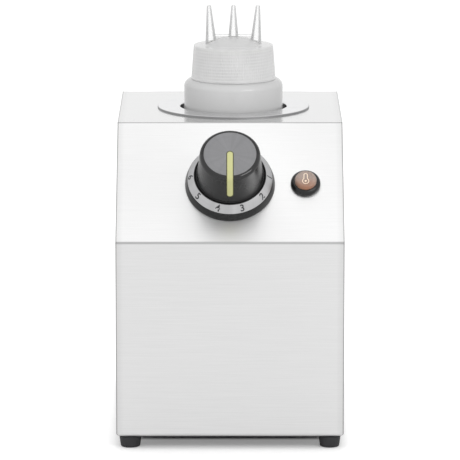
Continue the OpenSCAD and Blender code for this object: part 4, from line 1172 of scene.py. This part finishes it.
@dataclass
class Dial:
    """The fixed black dial with its silver band and numerals."""

    slope: Slope
    bore: float = 5.1
    radius: float = 35.6
    foot: float = 0.02
    base_height: float = 0.8
    band_outer: float = 33.7
    band_inner: float = 28.4
    band_low: float = 7.0
    band_high: float = 12.6
    foil_outer: float = 33.65
    foil_inner: float = 28.6
    foil_lift: float = 0.05
    inner_radius: float = 27.45
    floor: float = 1.5
    numerals: int = 6
    numeral_height: float = 5.7
    numeral_weight: float = 0.02
    numeral_lift: float = 0.03
    angle_step: float = 36.0
    segments: int = 256

    def outline(self) -> list[Point]:
        """Half outline of the black dial, with the band's recess in it.

        Returns:
            The points as radius and height.
        """
        outer, inner, low, high = self.band_outer, self.band_inner, self.band_low, self.band_high
        skirt = [
            (self.bore, self.foot, 0.0), (self.radius, self.foot, 0.15),
            (self.radius, self.base_height, 0.9),
        ]
        recess = [
            (outer + 0.1, low + 0.05, 0.35), (outer - 0.3, low - 0.35, 0.0),
            (inner + 0.3, high - 0.7, 0.0), (inner + 0.15, high, 0.1),
        ]
        hollow = [
            (inner - 0.3, high + 0.2, 0.25), (self.inner_radius, high - 0.2, 0.15),
            (self.inner_radius, self.floor, 0.4), (self.bore, self.floor, 0.0),
        ]
        return softened(skirt + recess + hollow)

    def foil(self) -> list[Point]:
        """Half outline of the silver band.

        Returns:
            The points as radius and height.
        """
        return softened(
            [
                (self.band_outer - 0.3, self.band_low - 0.3, 0.0),
                (self.foil_outer, self.band_low + self.foil_lift, 0.08),
                (self.foil_inner, self.band_high + self.foil_lift, 0.08),
                (self.band_inner + 0.3, self.band_high - 0.65, 0.0),
            ]
        )

    def numeral(self, digit: int) -> Work:
        """One numeral, laid on the band's cone with its top towards the knob.

        Args:
            digit: The number to write.

        Returns:
            The working mesh, in the slope's frame.
        """
        writing = bpy.data.curves.new(f"writing_{digit}", "FONT")
        writing.body = str(digit)
        writing.resolution_u = 6
        writing.offset = self.numeral_weight
        holder = placed("writing", writing)
        work = worked_out(holder)
        bpy.data.objects.remove(holder)
        bpy.data.curves.remove(writing)
        xs, ys = ([v.co[axis] for v in work.verts] for axis in (0, 1))
        scale = self.numeral_height / (max(ys) - min(ys))
        run = self.foil_outer - self.foil_inner
        rise = self.band_high - self.band_low
        length = math.hypot(run, rise)
        middle = (self.foil_outer + self.foil_inner) / 2
        level = (self.band_low + self.band_high) / 2 + self.foil_lift
        angle = math.radians(-self.angle_step * (digit - 1))
        for v in work.verts:
            along = (v.co.x - (max(xs) + min(xs)) / 2) * scale
            up = (v.co.y - (max(ys) + min(ys)) / 2) * scale
            radius = middle - up * run / length + self.numeral_lift * rise / length
            height = level + up * rise / length + self.numeral_lift * run / length
            turn = angle + along / middle
            v.co = (radius * math.cos(turn), radius * math.sin(turn), height)
        return work

    def build(self) -> None:
        """Builds the dial, its band and its numerals."""
        seat = self.slope.seat()
        dial = Piece("dial_moulding", BLACK_GLOSS, Body.CASE, "black_gloss", ("dial_bezel",))
        dial.add(turned(self.outline(), self.segments), seat)
        band = Piece("dial_foil", FOIL, Body.CASE, "silver_foil", ("dial_band",))
        band.add(turned(self.foil(), self.segments), seat)
        for digit in range(1, self.numerals + 1):
            Piece(f"numeral_{digit}", INK, Body.CASE, "silver_foil").add(self.numeral(digit), seat)


@dataclass
class Knob:
    """The tall black knob and its pale pointer."""

    slope: Slope
    low: float = 2.5
    collar_radius: float = 27.1
    collar_top: float = 12.95
    neck_radius: float = 25.9
    neck_low: float = 14.5
    neck_high: float = 16.5
    grip_radius: float = 24.0
    rim: float = 3.2
    rim_steps: int = 14
    height: float = 41.3
    wall: float = 2.2
    hub_radius: float = 6.2
    hub_low: float = 8.0
    bore: float = 3.05
    bore_top: float = 26.1
    pointer_width: float = 4.4
    pointer_low: float = 20.0
    pointer_steps: int = 24
    pointer_parts: int = 12
    pointer_lift: float = 0.08
    pointer_crown: float = 0.22
    # Width and lift of the painted shadow round the pointer.
    shadow_width: float = 5.8
    shadow_lift: float = 0.05
    disc_gap: float = 0.1
    end_marks: tuple[float, ...] = (0.02, 0.08, 0.2, 0.35, 0.55, 0.75)

    def shell(self) -> Work:
        """The knob's hollow body: collar, grip, round rim, face and hub.

        Returns:
            The working mesh.
        """
        collar, collar_top, neck = self.collar_radius, self.collar_top, self.neck_radius
        edge, rim_foot = self.grip_radius - self.rim, self.height - self.rim
        foot = [
            (collar - 0.3, self.low), (collar, self.low + 0.3), (collar, collar_top - 0.5),
            (collar - 0.15, collar_top - 0.1), (collar - 0.5, collar_top + 0.15),
        ]
        grip = [
            (neck + 0.42, self.neck_low - 0.2), (neck + 0.2, self.neck_low + 0.7),
            (neck + 0.04, self.neck_high - 0.4), (neck - 0.06, self.neck_high + 0.6),
        ]
        top = along_arc((edge, rim_foot), self.rim, 0, 90, self.rim_steps)
        face = [(edge * k / 6, self.height) for k in range(5, -1, -1)]
        inside = [
            (0.0, self.bore_top), (self.bore, self.bore_top), (self.bore, self.hub_low),
            (self.hub_radius, self.hub_low), (self.hub_radius, rim_foot), (edge, rim_foot),
            (collar - self.wall, self.low),
        ]
        return turned(foot + grip + top + face + inside, 256)

    def path(self, half: float, low: float) -> list[tuple[float, float, float, float]]:
        """The line of the pointer, from beyond the middle of the face over the rim and down the side.

        Args:
            half: How far it starts beyond the middle.
            low: Height of its end.

        Returns:
            Points as radius, height, and the skin's direction outwards and upwards.
        """
        edge, top = self.grip_radius - self.rim, self.height - self.rim
        lean = (self.neck_radius - self.grip_radius) / (top - self.neck_high)
        shares = [k / self.pointer_steps for k in range(self.pointer_steps + 1)]
        face = [(-half + (edge + half) * share, self.height, 0.0, 1.0) for share in shares]
        rim = [
            (edge + self.rim * math.cos(a), top + self.rim * math.sin(a), math.cos(a), math.sin(a))
            for a in (math.radians(90 - 90 * k / self.rim_steps) for k in range(1, self.rim_steps + 1))
        ]
        levels = [top + (low - top) * share for share in shares[1:]]
        return face + rim + [(self.grip_radius + (top - z) * lean, z, 1.0, lean) for z in levels]

    def strip(self, width: float, lift: float, crown: float) -> Work:
        """A strip with round ends that follows the skin.

        Args:
            width: Width of the strip.
            lift: Height of its edges over the skin.
            crown: How much higher its middle is.

        Returns:
            The working mesh.
        """
        half = width / 2
        path = self.path(half, self.pointer_low - (width - self.pointer_width) / 2)
        runs = (math.hypot(two[0] - one[0], two[1] - one[1]) for one, two in zip(path, path[1:]))
        lengths = [0.0, *accumulate(runs)]
        ends = [half * share for share in self.end_marks]
        work = bmesh.new()
        rows: list[list[Vertex]] = []
        for mark in sorted({*lengths, *ends, *(lengths[-1] - end for end in ends)}):
            k = min(max(i for i, length in enumerate(lengths) if length <= mark + TINY), len(path) - 2)
            share = (mark - lengths[k]) / max(lengths[k + 1] - lengths[k], TINY)
            r, z, out, up = (a + (b - a) * share for a, b in zip(path[k], path[k + 1]))
            end = min(mark, lengths[-1] - mark)
            reach = half if end >= half else math.sqrt(max(half * half - (half - end) ** 2, 1e-4))
            size = math.hypot(out, up)
            row = []
            for j in range(self.pointer_parts + 1):
                part = 2 * j / self.pointer_parts - 1
                v = part * reach
                height = lift + crown * (1 - abs(part) ** 4) * min(1.0, end / 0.5)
                depth = r if out < ON_AXIS else math.sqrt(max(r * r - v * v, 0.0))
                row.append(work.verts.new((v, -(depth + height * out / size), z + height * up / size)))
            rows.append(row)
        quads(work, rows)
        return work

    def face(self) -> Work:
        """The disc that is let into the top, with a fine groove round it; its light grey is painted
        reflection of the overhead light.

        Returns:
            The working mesh.
        """
        edge = self.grip_radius - self.rim - self.disc_gap
        foot, top = self.height - 0.3, self.height + 0.03
        side = [(0.0, foot), (edge, foot), (edge, self.height - 0.02), (edge - 0.1, self.height + 0.02)]
        return turned([*side, (edge - 3.0, top), (0.0, top)], 192)

    def build(self) -> None:
        """Builds the knob with its face in painted reflection, its polished lower rim, the pointer, and the
        painted shadow round the pointer.
        """
        seat = self.slope.seat()
        # The face's light grey is painted reflection.
        Piece("knob_face", KNOB_FACE, Body.KNOB, "black_gloss").add(self.face(), seat)
        knob = Piece("knob_body", BLACK_GLOSS, Body.KNOB, "black_gloss", ("knob",), BLACK_POLISHED)
        rim_foot = (self.height - self.rim) * MM
        for face in knob.add(self.shell(), seat).polygons:
            if face.center.z > rim_foot and face.center.y < 0 and face.normal.z > 0.3:
                face.material_index = 1
        # A dark strip round the pointer: painted shadow of a groove.
        outline_shadow = Piece("pointer_shadow_strip", POINTER_SHADOW, Body.KNOB, "black_gloss")
        outline_shadow.add(self.strip(self.shadow_width, self.shadow_lift, 0.0), seat)
        pointer = Piece("pointer_strip", POINTER, Body.KNOB, "pointer_cream", ("pointer_insert",))
        pointer.add(self.strip(self.pointer_width, self.pointer_lift, self.pointer_crown), seat)


@dataclass
class PilotLamp:
    """The round pilot lamp with its bezel, lens and small sign."""

    slope: Slope
    across: float = 59.8
    radius: float = 11.8
    bezel_height: float = 4.6
    bezel_round: float = 3.2
    lens_radius: float = 8.75
    lens_seat: float = 1.6
    lens_edge: float = 7.2
    lens_round: float = 2.4
    lens_top: float = 8.0
    lens_wall: float = 1.4
    lens_inner_top: float = 6.4
    ring_depth: float = 0.35
    neck_radius: float = 8.0
    sign_height: float = 9.8
    sign_bulb: float = 2.5
    sign_stem: float = 1.35
    line_width: float = 0.6
    line_lift: float = 0.06
    line_crown: float = 0.05
    dot_radius: float = 0.5
    dot_width: float = 0.8

    def bezel(self) -> Work:
        """The black ring round the lens.

        Returns:
            The working mesh.
        """
        top, bend, hole = self.bezel_height, self.bezel_round, self.lens_radius + 0.1
        outline = [
            (self.neck_radius, 0.02), (self.radius - 0.1, 0.02), (self.radius, 0.12),
            *along_arc((self.radius - bend, top - bend), bend, 0, 90, 12),
            (self.lens_radius + 0.2, top), (hole, top - 0.1), (hole, self.lens_seat),
            (self.neck_radius, self.lens_seat),
        ]
        return turned(outline, 160)

    def crown(self, radius: float) -> float:
        """Height of the lens's top at a radius."""
        share = radius / self.lens_radius
        return self.lens_top - (self.lens_top - self.lens_edge) * share * share

    def lens(self) -> Work:
        """The lens: a low cup with a crowned top, and rings under it that spread the light.

        Returns:
            The working mesh.
        """
        inner = self.lens_radius - self.lens_wall
        flat = self.lens_radius - self.lens_round
        side = [(inner, self.lens_seat), (self.lens_radius, self.lens_seat)]
        shoulder = along_arc((flat, self.crown(flat) - self.lens_round), self.lens_round, 0, 88, 12)
        top = [(flat * k / 8, self.crown(flat * k / 8)) for k in range(7, -1, -1)]
        under: list[Point] = []
        for radius in (inner * k / 9 for k in range(9)):
            under += [(radius, self.lens_inner_top), (radius + 0.4, self.lens_inner_top - self.ring_depth)]
        return turned([*side, *shoulder, *top, *under, (inner, self.lens_inner_top)], 128)

    def ribbon(self, line: Sequence[Point], width: float) -> Work:
        """A flat closed line drawn on the crown of the lens.

        Args:
            line: Its points in the plane of the face, in millimetres.
            width: Its width.

        Returns:
            The working mesh.
        """
        work = bmesh.new()
        rows = []
        for k, point in enumerate(line):
            way = Vector(line[(k + 1) % len(line)]) - Vector(line[k - 1])
            side = Vector((-way.y, way.x)).normalized() * width / 2
            row = []
            for sign, rise in ((-1, 0.0), (0, self.line_crown), (1, 0.0)):
                spot = Vector(point) + side * sign
                height = self.crown(spot.length) + (self.line_lift + rise)
                row.append(work.verts.new((spot.x, spot.y, height)))
            rows.append(row)
        quads(work, rows, ends_meet=True)
        return work

    def sign(self) -> Work:
        """A plain drawing of a thermometer.

        Returns:
            The working mesh.
        """
        bulb, stem = self.sign_bulb, self.sign_stem
        low, high = -self.sign_height / 2 + bulb, self.sign_height / 2 - stem
        meet = math.degrees(math.acos(stem / bulb))
        outline = [
            *along_arc((0.0, low), bulb, meet, meet - (360 - (180 - 2 * meet)), 28),
            *along_arc((0.0, high), stem, 180, 0, 12),
        ]
        dot = along_arc((0.0, low), self.dot_radius, 0, 330, 12)
        return joined([self.ribbon(outline, self.line_width), self.ribbon(dot, self.dot_width)])

    def build(self) -> None:
        """Builds what shows of the lamp, and dresses the rest."""
        seat = self.slope.seat(self.across)
        ring = Piece("lamp_ring", BLACK_GLOSS, Body.CASE, "black_gloss", ("lamp_bezel",))
        ring.add(self.bezel(), seat)
        Piece("lamp_window", LENS, Body.CASE, "lens_amber", ("lamp_lens",)).add(self.lens(), seat)
        Piece("lamp_sign", SIGN_INK, Body.CASE, "lens_amber").add(self.sign(), seat)
        dress_node("lamp_body", NYLON_WHITE)
        dress_node("lamp_nut", NYLON_BLACK)
        dress_node("lamp_neon", NEON_GLASS)


@dataclass
class Stand:
    """Where the bottle stands: its frame has the well's axis as Z, and the counter as its zero."""

    x: float = 2.8
    y: float = 30.805

    def seat(self) -> Matrix:
        """The frame on the well's axis."""
        return Matrix.Translation(Vector((self.x, self.y, 0.0)) * MM)


@dataclass
class SqueezeBottle:
    """The milky squeeze bottle."""

    stand: Stand
    radius: float = 40.3
    floor: float = 83.5
    shoulder: float = 272.2
    shoulder_round: float = 6.2
    heel: float = 3.5
    waist: float = 0.25
    waist_foot: float = 12.0
    waist_length: float = 172.0
    waist_steps: int = 12
    wall: float = 1.4
    neck_radius: float = 29.0
    neck_bore: float = 26.6
    neck_top: float = 296.85
    push_up: float = 1.2
    ring_width: float = 3.5
    thread_foot: float = 279.2
    thread_height: float = 1.5
    pitch: float = 5.0
    thread_turns: float = 1.5

    def side(self, depth: float) -> list[Point]:
        """Outline of the wall from the heel to the shoulder.

        Args:
            depth: How far it lies under the outer face.

        Returns:
            The points as radius and height.
        """
        steps, foot = self.waist_steps, self.floor + self.waist_foot
        heel = along_arc((self.radius - self.heel, self.floor + self.heel), self.heel - depth, -90, 0, 8)
        waist = [
            (
                self.radius - depth - self.waist * math.sin(math.pi * k / steps),
                foot + self.waist_length * k / steps,
            )
            for k in range(1, steps)
        ]
        centre = (self.radius - self.shoulder_round, self.shoulder - self.shoulder_round)
        return heel + waist + along_arc(centre, self.shoulder_round - depth, 0, 80, 14)

    def outline(self) -> list[Point]:
        """The closed outline of the bottle's wall.

        Returns:
            The points as radius and height.
        """
        ring = self.radius - self.heel - self.ring_width
        rise, neck, bore = self.push_up, self.neck_radius, self.neck_bore
        foot, root = self.floor + self.wall, self.shoulder - self.wall
        bottom = [
            (0.0, self.floor + rise), (ring - 3 * rise, self.floor + rise),
            (ring - rise, self.floor + 0.6 * rise), (ring, self.floor),
        ]
        throat = [
            (neck + 1.6, self.shoulder + 0.05), (neck + 0.6, self.shoulder + 0.4),
            (neck + 0.1, self.shoulder + 1.2), (neck, self.shoulder + 2.2),
            (neck, self.neck_top - 0.5), (neck - 0.15, self.neck_top - 0.15),
            (neck - 0.5, self.neck_top), (bore + 0.3, self.neck_top), (bore, self.neck_top - 0.3),
            (bore, root + 1.0), (bore + 0.4, root),
        ]
        inside = [
            (ring, foot), (ring - rise, foot + 0.6 * rise), (ring - 3 * rise, foot + rise),
            (0.0, foot + rise),
        ]
        return [*bottom, *self.side(0.0), *throat, *reversed(self.side(self.wall)), *inside]

    def build(self) -> None:
        """Builds the bottle with its thread."""
        crest = self.neck_radius + self.thread_height
        thread = helix(self.neck_radius - 0.3, crest, self.thread_foot, self.pitch, self.thread_turns)
        bottle = Piece("squeeze_bottle", BOTTLE_MILK, Body.BOTTLE, "bottle_plastic", ("bottle",))
        bottle.add(joined([turned(self.outline(), 256), thread]), self.stand.seat())


@dataclass
class NozzleCap:
    """The screw cap with its ribbed skirt, dome, web and three hollow nozzles."""

    stand: Stand
    low: float = 272.5
    flat: float = 300.0
    inside: float = 298.5
    radius_low: float = 34.3
    radius_top: float = 32.4
    lip: float = 0.3
    lip_height: float = 1.1
    edge: float = 0.9
    bore: float = 31.2
    dome_radius: float = 23.5
    dome_height: float = 6.6
    wall: float = 1.5
    ribs: int = 110
    rib_depth: float = 0.15
    rib_fade: float = 1.2
    nozzle_gap: float = 20.0
    nozzle_lean: float = 1.8
    nozzle_height: float = 32.0
    nozzle_low: float = 4.7
    nozzle_tip: float = 1.7
    nozzle_bore: float = 0.9
    nozzle_wall: float = 1.1
    web: float = 1.6
    web_rise: float = 0.7
    web_roll: float = 0.95
    thread_foot: float = 281.7
    thread_height: float = 1.5
    pitch: float = 5.0

    def ball(self) -> float:
        """Radius of the ball that the dome is a part of."""
        return (self.dome_radius**2 + self.dome_height**2) / (2 * self.dome_height)

    def outline(self) -> list[Point]:
        """The closed outline of the cap.

        Returns:
            The points as radius and height.
        """
        ball = self.ball()
        middle = (0.0, self.flat + self.dome_height - ball)
        edge_angle = math.degrees(math.acos((ball - self.dome_height) / ball))
        inner_angle = math.degrees(math.acos((self.inside - middle[1]) / (ball - self.wall)))
        foot, lip = self.low + self.lip_height, self.radius_low + self.lip
        rise = self.flat - self.edge - foot - 0.5
        lean = self.radius_top - self.radius_low
        rim = [(self.bore, self.low), (lip - 0.15, self.low), (lip, self.low + 0.15), (lip, foot - 0.1)]
        skirt = [(self.radius_low + lean * k / 8, foot + 0.5 + rise * k / 8) for k in range(9)]
        return [
            *rim,
            (self.radius_low + 0.15, foot + 0.05),
            *skirt,
            *along_arc((self.radius_top - self.edge, self.flat - self.edge), self.edge, 10, 90, 6),
            (self.dome_radius + 0.8, self.flat),
            *along_arc(middle, ball, 90 - edge_angle, 90, 14),
            *along_arc(middle, ball - self.wall, 90, 90 - inner_angle, 12),
            (self.bore, self.inside),
        ]

    def ribbed(self, work: Work) -> None:
        """Presses the grooves between the ribs into the skirt.

        Args:
            work: The turned cap.
        """
        foot = self.low + self.lip_height + 0.6
        top = self.flat - self.edge * 0.9
        for v in work.verts:
            radius = math.hypot(v.co.x, v.co.y)
            if radius < self.bore + 0.4 or not foot - 0.3 < v.co.z < top + 0.1:
                continue
            start = min(1.0, max(0.0, (v.co.z - foot + 0.6) / self.rib_fade))
            fade = start * min(1.0, max(0.0, (top + 0.2 - v.co.z) / self.rib_fade))
            wave = 0.5 - 0.5 * math.cos(self.ribs * math.atan2(v.co.y, v.co.x))
            factor = 1 - self.rib_depth * wave * fade / radius
            v.co.x *= factor
            v.co.y *= factor

    def webbing(self) -> list[Work]:
        """The flat web between the nozzles, and the roll along its top.

        Returns:
            The two working meshes.
        """
        web = bmesh.new()
        root = self.nozzle_gap - self.nozzle_lean
        height = self.dome_height + self.web_rise
        bmesh.ops.create_cube(web, size=1.0)
        bmesh.ops.scale(web, vec=(2 * root, self.web, height + 0.6), verts=web.verts[:])
        bmesh.ops.translate(web, vec=(0.0, 0.0, self.flat + height / 2 - 0.3), verts=web.verts[:])
        roll = turned([(0.0, -root), (self.web_roll, -root), (self.web_roll, root), (0.0, root)], 32)
        lay = Matrix.Translation((0.0, 0.0, self.flat + height)) @ Matrix.Rotation(math.radians(90), 4, "Y")
        bmesh.ops.transform(roll, matrix=lay, verts=roll.verts[:])
        return [web, roll]

    def cones(self, outline: Sequence[Point]) -> list[Work]:
        """The same turned solid on the axes of all three nozzles.

        Args:
            outline: Its outline, with its zero at the nozzle's root.

        Returns:
            The three working meshes.
        """
        root = self.nozzle_gap - self.nozzle_lean
        lean = math.atan2(self.nozzle_lean, self.nozzle_height)
        made: list[Work] = []
        for k in (-1, 0, 1):
            seat = Matrix.Translation((k * root, 0.0, self.flat)) @ Matrix.Rotation(k * lean, 4, "Y")
            made.append(turned(outline, 64))
            bmesh.ops.transform(made[-1], matrix=seat, verts=made[-1].verts[:])
        return made

    def body(self) -> Work:
        """The whole cap, with its nozzles joined on and bored.

        Returns:
            The working mesh.
        """
        cap = turned(self.outline(), self.ribs * 6)
        self.ribbed(cap)
        foot, tip, low = -0.6, self.nozzle_height, self.nozzle_low - self.nozzle_wall
        start = -self.wall - 1.0
        outer = [
            (0.0, foot), (self.nozzle_low, foot), (self.nozzle_low, 0.0),
            (self.nozzle_tip + 0.03, tip - 0.35), (self.nozzle_tip - 0.25, tip), (0.0, tip),
        ]
        inner = [
            (0.0, start), (low, start), (low, 0.0), (self.nozzle_bore, tip + 0.01),
            (self.nozzle_bore, tip + 1.0), (0.0, tip + 1.0),
        ]
        raised = carved(cap, self.webbing() + self.cones(outer), "UNION")
        return carved(raised, self.cones(inner), "DIFFERENCE")

    def clear_nozzles(self, mesh: bpy.types.Mesh) -> None:
        """Gives the nozzles and the web the second finish.

        Args:
            mesh: The cap's mesh, in metres.
        """
        ball = self.ball()
        middle = self.flat + self.dome_height - ball
        for face in mesh.polygons:
            spot = face.center / MM
            radius = math.hypot(spot.x, spot.y)
            dome = middle + math.sqrt(max(ball * ball - radius * radius, 0.0))
            if spot.z > max(dome, self.flat) + 0.15:
                face.material_index = 1

    def build(self) -> None:
        """Builds the cap with its inner thread, and dresses its liner."""
        cap = Piece("nozzle_cap", CAP_MILK, Body.CAP, "cap_plastic", ("bottle_cap",), NOZZLE_CLEAR)
        thread = helix(self.bore + 0.3, self.bore - self.thread_height, self.thread_foot, self.pitch, 1.0)
        self.clear_nozzles(cap.add(joined([self.body(), thread]), self.stand.seat()))
        dress_node("cap_liner", FOAM)


# THE STUDIO


@dataclass(frozen=True)
class Softbox:
    """A soft lamp with a flat face that looks at a point."""

    name: str
    place: Triple
    target: Triple
    width: float
    height: float
    power: float
    mirrored: bool = True

    def hang(self) -> None:
        """Puts the lamp in the scene."""
        lamp = bpy.data.lights.new(self.name, "AREA")
        lamp.shape = "RECTANGLE"
        lamp.size = self.width
        lamp.size_y = self.height
        lamp.energy = self.power
        holder = placed(self.name, lamp)
        holder.location = self.place
        holder.visible_glossy = self.mirrored
        way = Vector(self.target) - Vector(self.place)
        holder.rotation_euler = way.to_track_quat("-Z", "Y").to_euler()
        log.info("hung %s", self.name)


MIDDLE = (0.0, 0.0, 0.18)
TOP_LIGHT = Softbox("top_light", (0.0, -0.3, 1.6), MIDDLE, 0.28, 0.9, 0.65)
KEY_LIGHT = Softbox("key_light", (0.872, -1.217, 0.985), (0.0, -0.1, 0.2), 0.75, 0.22, 5.2)
LEFT_LIGHT = Softbox("left_light", (-1.9, -0.8, 1.0), MIDDLE, 1.0, 1.4, 3.0, mirrored=False)


@dataclass
class Studio:
    """The white floor, the soft lamps and the camera."""

    lens: float = 326.7
    sensor: float = 36.0
    camera_place: Triple = (0.0, -3.348, 0.7795)
    pitch_down: float = 10.6226
    floor_half: float = 30.0
    floor_drop: float = 0.2
    paper: float = 0.86
    sky: float = 0.85
    near: float = 150.0
    far: float = 450.0
    near_glow: float = 0.23
    far_glow: float = 0.34
    mirrored_share: float = 0.25
    shade_half: Point = (72.0, 89.5)
    shade_y: float = -7.4
    shade_fade: Point = (-3.0, 4.0)
    side_from: float = 86.0
    side_full: float = 98.0
    side_glow: float = 0.2

    def light_world(self) -> None:
        """Makes the world white for camera, mirrors and clear plastic, and a plain light elsewhere."""
        world = bpy.data.worlds.new("studio_air")
        bpy.context.scene.world = world
        world.use_nodes = True
        sheet = Sheet(world.node_tree)
        path = sheet.put("ShaderNodeLightPath").outputs
        seen = sheet.larger(path["Is Camera Ray"], path["Is Glossy Ray"])
        white = sheet.between(sheet.larger(seen, path["Is Transmission Ray"]), self.sky, 1.0)
        background = sheet.put("ShaderNodeBackground", (1.0, 1.0, 1.0), white)
        sheet.put("ShaderNodeOutputWorld", background.outputs["Background"])

    def floor_glow(self, sheet: Sheet) -> Socket:
        """How much the floor glows with painted light: more away from the object and beside the case, which
        lifts the object's shadow there, and not at all under the case, where the shade stays dark.

        Args:
            sheet: The floor material's tree.

        Returns:
            The socket with the strength.
        """
        place = sheet.own_place()
        x, y, _ = sheet.parts(place)
        distance = sheet.vector("LENGTH", place)
        around = sheet.zone(distance, self.near, self.far, self.near_glow, self.far_glow)
        across = sheet.sum("ABSOLUTE", x)
        # Painted light beside the case takes away its shadow there.
        beside = sheet.zone(across, self.side_from, self.side_full, 0.0, self.side_glow)
        # Under the case the painted glow stops, so the floor keeps its shade there.
        along = sheet.sum("ABSOLUTE", sheet.minus(y, self.shade_y * MM))
        wide = sheet.minus(across, self.shade_half[0] * MM)
        deep = sheet.minus(along, self.shade_half[1] * MM)
        clear = sheet.zone(sheet.larger(wide, deep), *self.shade_fade, 0.0, 1.0)
        return sheet.times(sheet.sum("ADD", around, beside), clear)

    def lay_floor(self) -> None:
        """Lays a white floor that keeps the object's shadow."""
        work = bmesh.new()
        bmesh.ops.create_grid(work, x_segments=8, y_segments=8, size=self.floor_half)
        mesh = stored("studio_floor", work)
        floor = placed("studio_floor", mesh)
        floor.location = (0.0, 0.0, -self.floor_drop * MM)
        material = bpy.data.materials.new("studio_white")
        material.use_nodes = True
        sheet = Sheet(material.node_tree)
        path = sheet.put("ShaderNodeLightPath").outputs
        mirrored = sheet.times(path["Is Glossy Ray"], self.mirrored_share)
        seen = sheet.larger(path["Is Camera Ray"], mirrored)
        strength = sheet.times(seen, self.floor_glow(sheet))
        paper = sheet.put("ShaderNodeBsdfDiffuse", (self.paper, self.paper, self.paper))
        glow = sheet.put("ShaderNodeEmission", (1.0, 1.0, 1.0), strength)
        both = sheet.put("ShaderNodeAddShader", paper.outputs[0], glow.outputs[0])
        sheet.put("ShaderNodeOutputMaterial", both.outputs[0])
        mesh.materials.append(material)

    def set_camera(self) -> None:
        """Puts the camera where the photograph was taken from."""
        data = bpy.data.cameras.new("camera")
        data.lens = self.lens
        data.sensor_width = self.sensor
        data.sensor_fit = "HORIZONTAL"
        data.clip_start = 0.05
        data.clip_end = 200.0
        camera = placed("camera", data)
        camera.location = self.camera_place
        camera.rotation_euler = (math.radians(90 - self.pitch_down), 0.0, 0.0)
        bpy.context.scene.camera = camera

    def build(self) -> None:
        """Sets up the light, the floor and the camera."""
        bpy.context.scene.view_settings.view_transform = "Standard"
        self.light_world()
        self.lay_floor()
        for lamp in (TOP_LIGHT, KEY_LIGHT, LEFT_LIGHT):
            lamp.hang()
        self.set_camera()


def main() -> None:
    """Dresses and builds the sub-assemblies in order."""
    logging.basicConfig(level=logging.INFO, format="%(name)s: %(message)s")
    slope = Slope()
    stand = Stand()
    Case().dress()
    Well().dress()
    Controls().dress()
    Dial(slope).build()
    Knob(slope).build()
    PilotLamp(slope).build()
    SqueezeBottle(stand).build()
    NozzleCap(stand).build()
    Studio().build()


if __name__ == "__main__":
    main()
